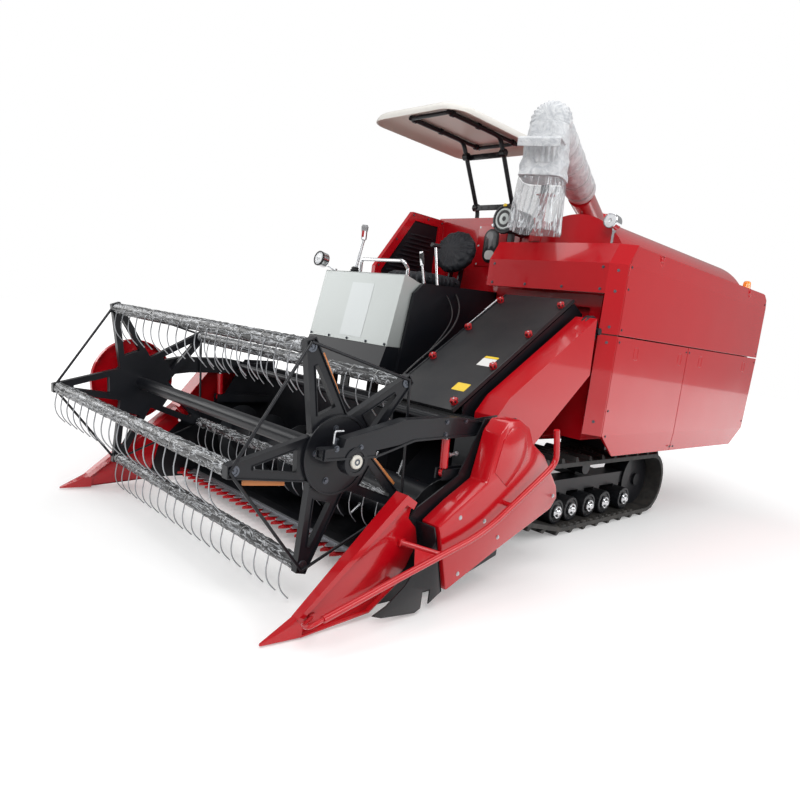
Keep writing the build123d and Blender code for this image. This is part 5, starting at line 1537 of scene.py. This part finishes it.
def make_door_fittings():
    """Flush latches and screws of the side doors, and the screws of the front beam and corner."""
    rows = {"upper_door": ((3023, 1928), (4800, 1928)), "lower_front_door": ((2852, 1290), (3568, 1290)),
            "lower_rear_door": ((3966, 1293), (4955, 1295))}
    screws = {"upper_door": [(2600, 1830), (2600, 1690), (2600, 1430), (5225, 1880), (5225, 1430)],
              "lower_front_door": [(2600, 1350), (2600, 900), (2620, 730), (3670, 1350), (3670, 620)],
              "lower_rear_door": [(3730, 1350), (3730, 620), (5225, 1350), (5180, 800)]}
    for door, places in rows.items():
        parts = []
        for back, z in places:
            middle = at(1038, back, z)
            rim = rounded(middle, Y, Z, 0.058, 0.084, 0.011)
            # The latch pan is a near-black plate of painted shade for the latch's recess.
            parts.append(plate("pan", "recess_shade", rim, X * 0.002))
            for rise, width, height, corner, thickness in (
                    (0.016, 0.040, 0.034, 0.006, 0.011), (-0.022, 0.034, 0.020, 0.005, 0.010)):
                parts.append(plate("grip", "red_paint",
                                   rounded(middle + Z * rise, Y, Z, width, height, corner),
                                   X * thickness, 0.002))
            lean = -0.006 if door == "upper_door" else 0.0
            parts.append(wire("rim", "red_paint", [spot + X * (0.0115 + lean) for spot in rim + rim[:1]],
                              0.0024, 1, 2))
        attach(joined(f"{door}_latches", parts), door)
        bolts(f"{door}_screws", door, X, side_points(DOOR_FACE, screws[door]), 0.010, "steel")
    beam = [at(x, 2500, z)
            for x, z in ((30, 1675), (30, 1810), (320, 1675), (620, 1675), (905, 1675), (905, 1815))]
    bolts("beam_bolts", "chassis", -Y, beam, 0.012, "steel")
    corner = Vector((63, -103, 0)).normalized()
    bolts("corner_bolts", "chassis", corner, [at(997, 2531, z) for z in (820, 1340, 1440, 1668, 1800)],
          0.011, "steel")


ROLLERS, ROLLER_HEIGHT = (2570, 2760, 3010, 3240, 3550), 150
WHEELS = (((3830, 270), 0.208), ((2180, 315), 0.168))     # back and height, and the radius in metres
TOOTH_STEP = 90               # from one guide tooth of the belt to the next


def make_track_fittings():
    """Chromed caps and black rims of the rollers, faces of the wheels, and the belts' guide teeth."""
    for name, side in (("left", 1), ("right", -1)):
        cap = turned("cap", "chrome", (0, 0, 0), Z, (
            (-0.004, 0.046), (0.004, 0.046), (0.008, 0.042), (0.006, 0.034), (0.012, 0.028), (0.020, 0.024),
            (0.024, 0.016), (0.022, 0.006)), 28)
        places = [at(side * 820, back, ROLLER_HEIGHT) for back in ROLLERS]
        caps = repeated(f"roller_caps_{name}", cap, places, X * side)
        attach(caps, "chassis")
        rims = []
        for back in ROLLERS:
            rims.append(turned("rim", "black_paint", at(side * 805, back, ROLLER_HEIGHT), X * side, (
                (-0.002, 0.0875), (0.006, 0.0875), (0.010, 0.083), (0.010, 0.070), (0.004, 0.064),
                (0.004, 0.036)), 32))
        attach(joined(f"roller_rims_{name}", rims), "chassis")
        wheel = []
        for (back, z), radius in WHEELS:
            wheel.append(turned("face", "black_paint", at(side * 715, back, z), X * side, (
                (-0.004, radius - 0.001), (0.006, radius - 0.002), (0.010, radius - 0.010),
                (0.010, radius - 0.030), (0.002, radius - 0.036), (0.002, 0.075), (0.014, 0.066),
                (0.018, 0.040)), 40))
        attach(joined(f"wheel_faces_{name}", wheel), "chassis")
        teeth = []
        for number in range(15):
            foot = at(side * 655, 2330 + TOOTH_STEP * number, 60)
            teeth.append(plate("tooth", "rubber", [foot + Y * a + Z * b + X * (side * 0.185) for a, b in (
                (-0.026, -0.002), (0.026, -0.002), (0.014, 0.014), (-0.014, 0.014))], X * side * 0.036,
                0.002))
        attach(joined(f"guide_teeth_{name}", teeth), "chassis")


# ---------------------------------------------------------------- operators

class HARVESTER_OT_stage(bpy.types.Operator):
    """Adds the camera, the floor and the lamps."""

    bl_idname = "harvester.stage"
    bl_label = "Stage"

    def execute(self, context):
        make_stage(context.scene.harvester_sizes.camera_height)
        return {"FINISHED"}


class HARVESTER_OT_finishes(bpy.types.Operator):
    """Makes the materials and puts them on the frame's own pieces."""

    bl_idname = "harvester.finishes"
    bl_label = "Finishes"

    def execute(self, context):
        FINISH.update(make_finishes(context.scene.harvester_colours))
        finish_nodes()
        return {"FINISHED"}


class HARVESTER_OT_tine_bars(bpy.types.Operator):
    """Makes the five reel bars in their film, with ties and tines."""

    bl_idname = "harvester.tine_bars"
    bl_label = "Tine bars"

    def execute(self, context):
        for number in range(5):
            make_tine_bar(number, context.scene.harvester_sizes)
        return {"FINISHED"}


class HARVESTER_OT_reel(bpy.types.Operator):
    """Makes the folded edges, caps, bolts and strips of the reel and its arms."""

    bl_idname = "harvester.reel"
    bl_label = "Reel fittings"

    def execute(self, context):
        make_reel_channels()
        make_reel_fittings()
        return {"FINISHED"}


class HARVESTER_OT_auger(bpy.types.Operator):
    """Makes the header auger with its curled flights."""

    bl_idname = "harvester.auger"
    bl_label = "Header auger"

    def execute(self, context):
        make_auger()
        return {"FINISHED"}


class HARVESTER_OT_header_sheets(bpy.types.Operator):
    """Makes the dividers, the drive covers, the guard rail, the leaf guards and the hose and cables."""

    bl_idname = "harvester.header_sheets"
    bl_label = "Header sheets"

    def execute(self, context):
        make_dividers()
        make_drive_covers()
        make_guard_rail()
        make_knife_guards()
        make_lines()
        return {"FINISHED"}


class HARVESTER_OT_feeder(bpy.types.Operator):
    """Makes the knobs and labels of the feeder lid, and the pulley."""

    bl_idname = "harvester.feeder"
    bl_label = "Feeder lid and pulley"

    def execute(self, context):
        make_lid_fittings()
        make_drive_pulley()
        return {"FINISHED"}


class HARVESTER_OT_doors(bpy.types.Operator):
    """Makes the side doors, the corner panel, their latches and screws, and the belt drives behind."""

    bl_idname = "harvester.doors"
    bl_label = "Side doors"

    def execute(self, context):
        make_doors()
        make_door_fittings()
        make_drives()
        return {"FINISHED"}


class HARVESTER_OT_spout(bpy.types.Operator):
    """Makes the foam wrapped tube and spout with the film below."""

    bl_idname = "harvester.spout"
    bl_label = "Wrapped spout"

    def execute(self, context):
        make_spout()
        make_spout_film()
        return {"FINISHED"}


class HARVESTER_OT_seat(bpy.types.Operator):
    """Makes the covered seat cushion and back."""

    bl_idname = "harvester.seat"
    bl_label = "Covered seat"

    def execute(self, context):
        make_seat()
        make_seat_back()
        return {"FINISHED"}


class HARVESTER_OT_canopy(bpy.types.Operator):
    """Makes the sun roof, its frame and clamps, and the saddle."""

    bl_idname = "harvester.canopy"
    bl_label = "Sun roof"

    def execute(self, context):
        make_canopy_frame()
        make_saddle()
        make_canopy()
        return {"FINISHED"}


class HARVESTER_OT_controls(bpy.types.Operator):
    """Makes the lever grips, the rail fittings and the lamps."""

    bl_idname = "harvester.controls"
    bl_label = "Controls and lamps"

    def execute(self, context):
        make_controls()
        make_lamps()
        return {"FINISHED"}


class HARVESTER_OT_tank(bpy.types.Operator):
    """Makes the cleaner cover, the tank window and the louvres."""

    bl_idname = "harvester.tank"
    bl_label = "Tank and cleaner"

    def execute(self, context):
        make_cleaner()
        make_tank_window()
        make_louvres()
        return {"FINISHED"}


class HARVESTER_OT_tracks(bpy.types.Operator):
    """Makes the caps, rims and faces of the rollers and wheels, and the belts' guide teeth."""

    bl_idname = "harvester.tracks"
    bl_label = "Track fittings"

    def execute(self, context):
        make_track_fittings()
        return {"FINISHED"}


OPERATORS = (
    HARVESTER_OT_stage, HARVESTER_OT_finishes,
    HARVESTER_OT_tine_bars, HARVESTER_OT_reel, HARVESTER_OT_auger,
    HARVESTER_OT_header_sheets, HARVESTER_OT_feeder, HARVESTER_OT_doors,
    HARVESTER_OT_spout, HARVESTER_OT_seat, HARVESTER_OT_canopy,
    HARVESTER_OT_controls, HARVESTER_OT_tank, HARVESTER_OT_tracks,
)


class HARVESTER_PT_panel(bpy.types.Panel):
    """Sidebar list of the harvester's pieces and settings."""

    bl_idname = "HARVESTER_PT_panel"
    bl_label = "Harvester"
    bl_space_type = "VIEW_3D"
    bl_region_type = "UI"
    bl_category = "Harvester"

    def draw(self, context):
        for settings in (context.scene.harvester_colours, context.scene.harvester_sizes):
            for name in settings.bl_rna.properties.keys():
                if name not in ("rna_type", "name"):
                    self.layout.prop(settings, name)
        for operator in OPERATORS:
            self.layout.operator(operator.bl_idname)


CLASSES = (HARVESTER_PG_colours, HARVESTER_PG_sizes) + OPERATORS + (HARVESTER_PT_panel,)


def register():
    """Registers the settings, the operators and the panel."""
    for cls in CLASSES:
        bpy.utils.register_class(cls)
    bpy.types.Scene.harvester_colours = bpy.props.PointerProperty(type=HARVESTER_PG_colours)
    bpy.types.Scene.harvester_sizes = bpy.props.PointerProperty(type=HARVESTER_PG_sizes)


def unregister():
    """Takes them away again."""
    del bpy.types.Scene.harvester_sizes
    del bpy.types.Scene.harvester_colours
    for cls in reversed(CLASSES):
        bpy.utils.unregister_class(cls)


def main():
    """Makes everything in order."""
    register()
    for operator in OPERATORS:
        group, name = operator.bl_idname.split(".")
        getattr(getattr(bpy.ops, group), name)()


if __name__ == "__main__":
    main()
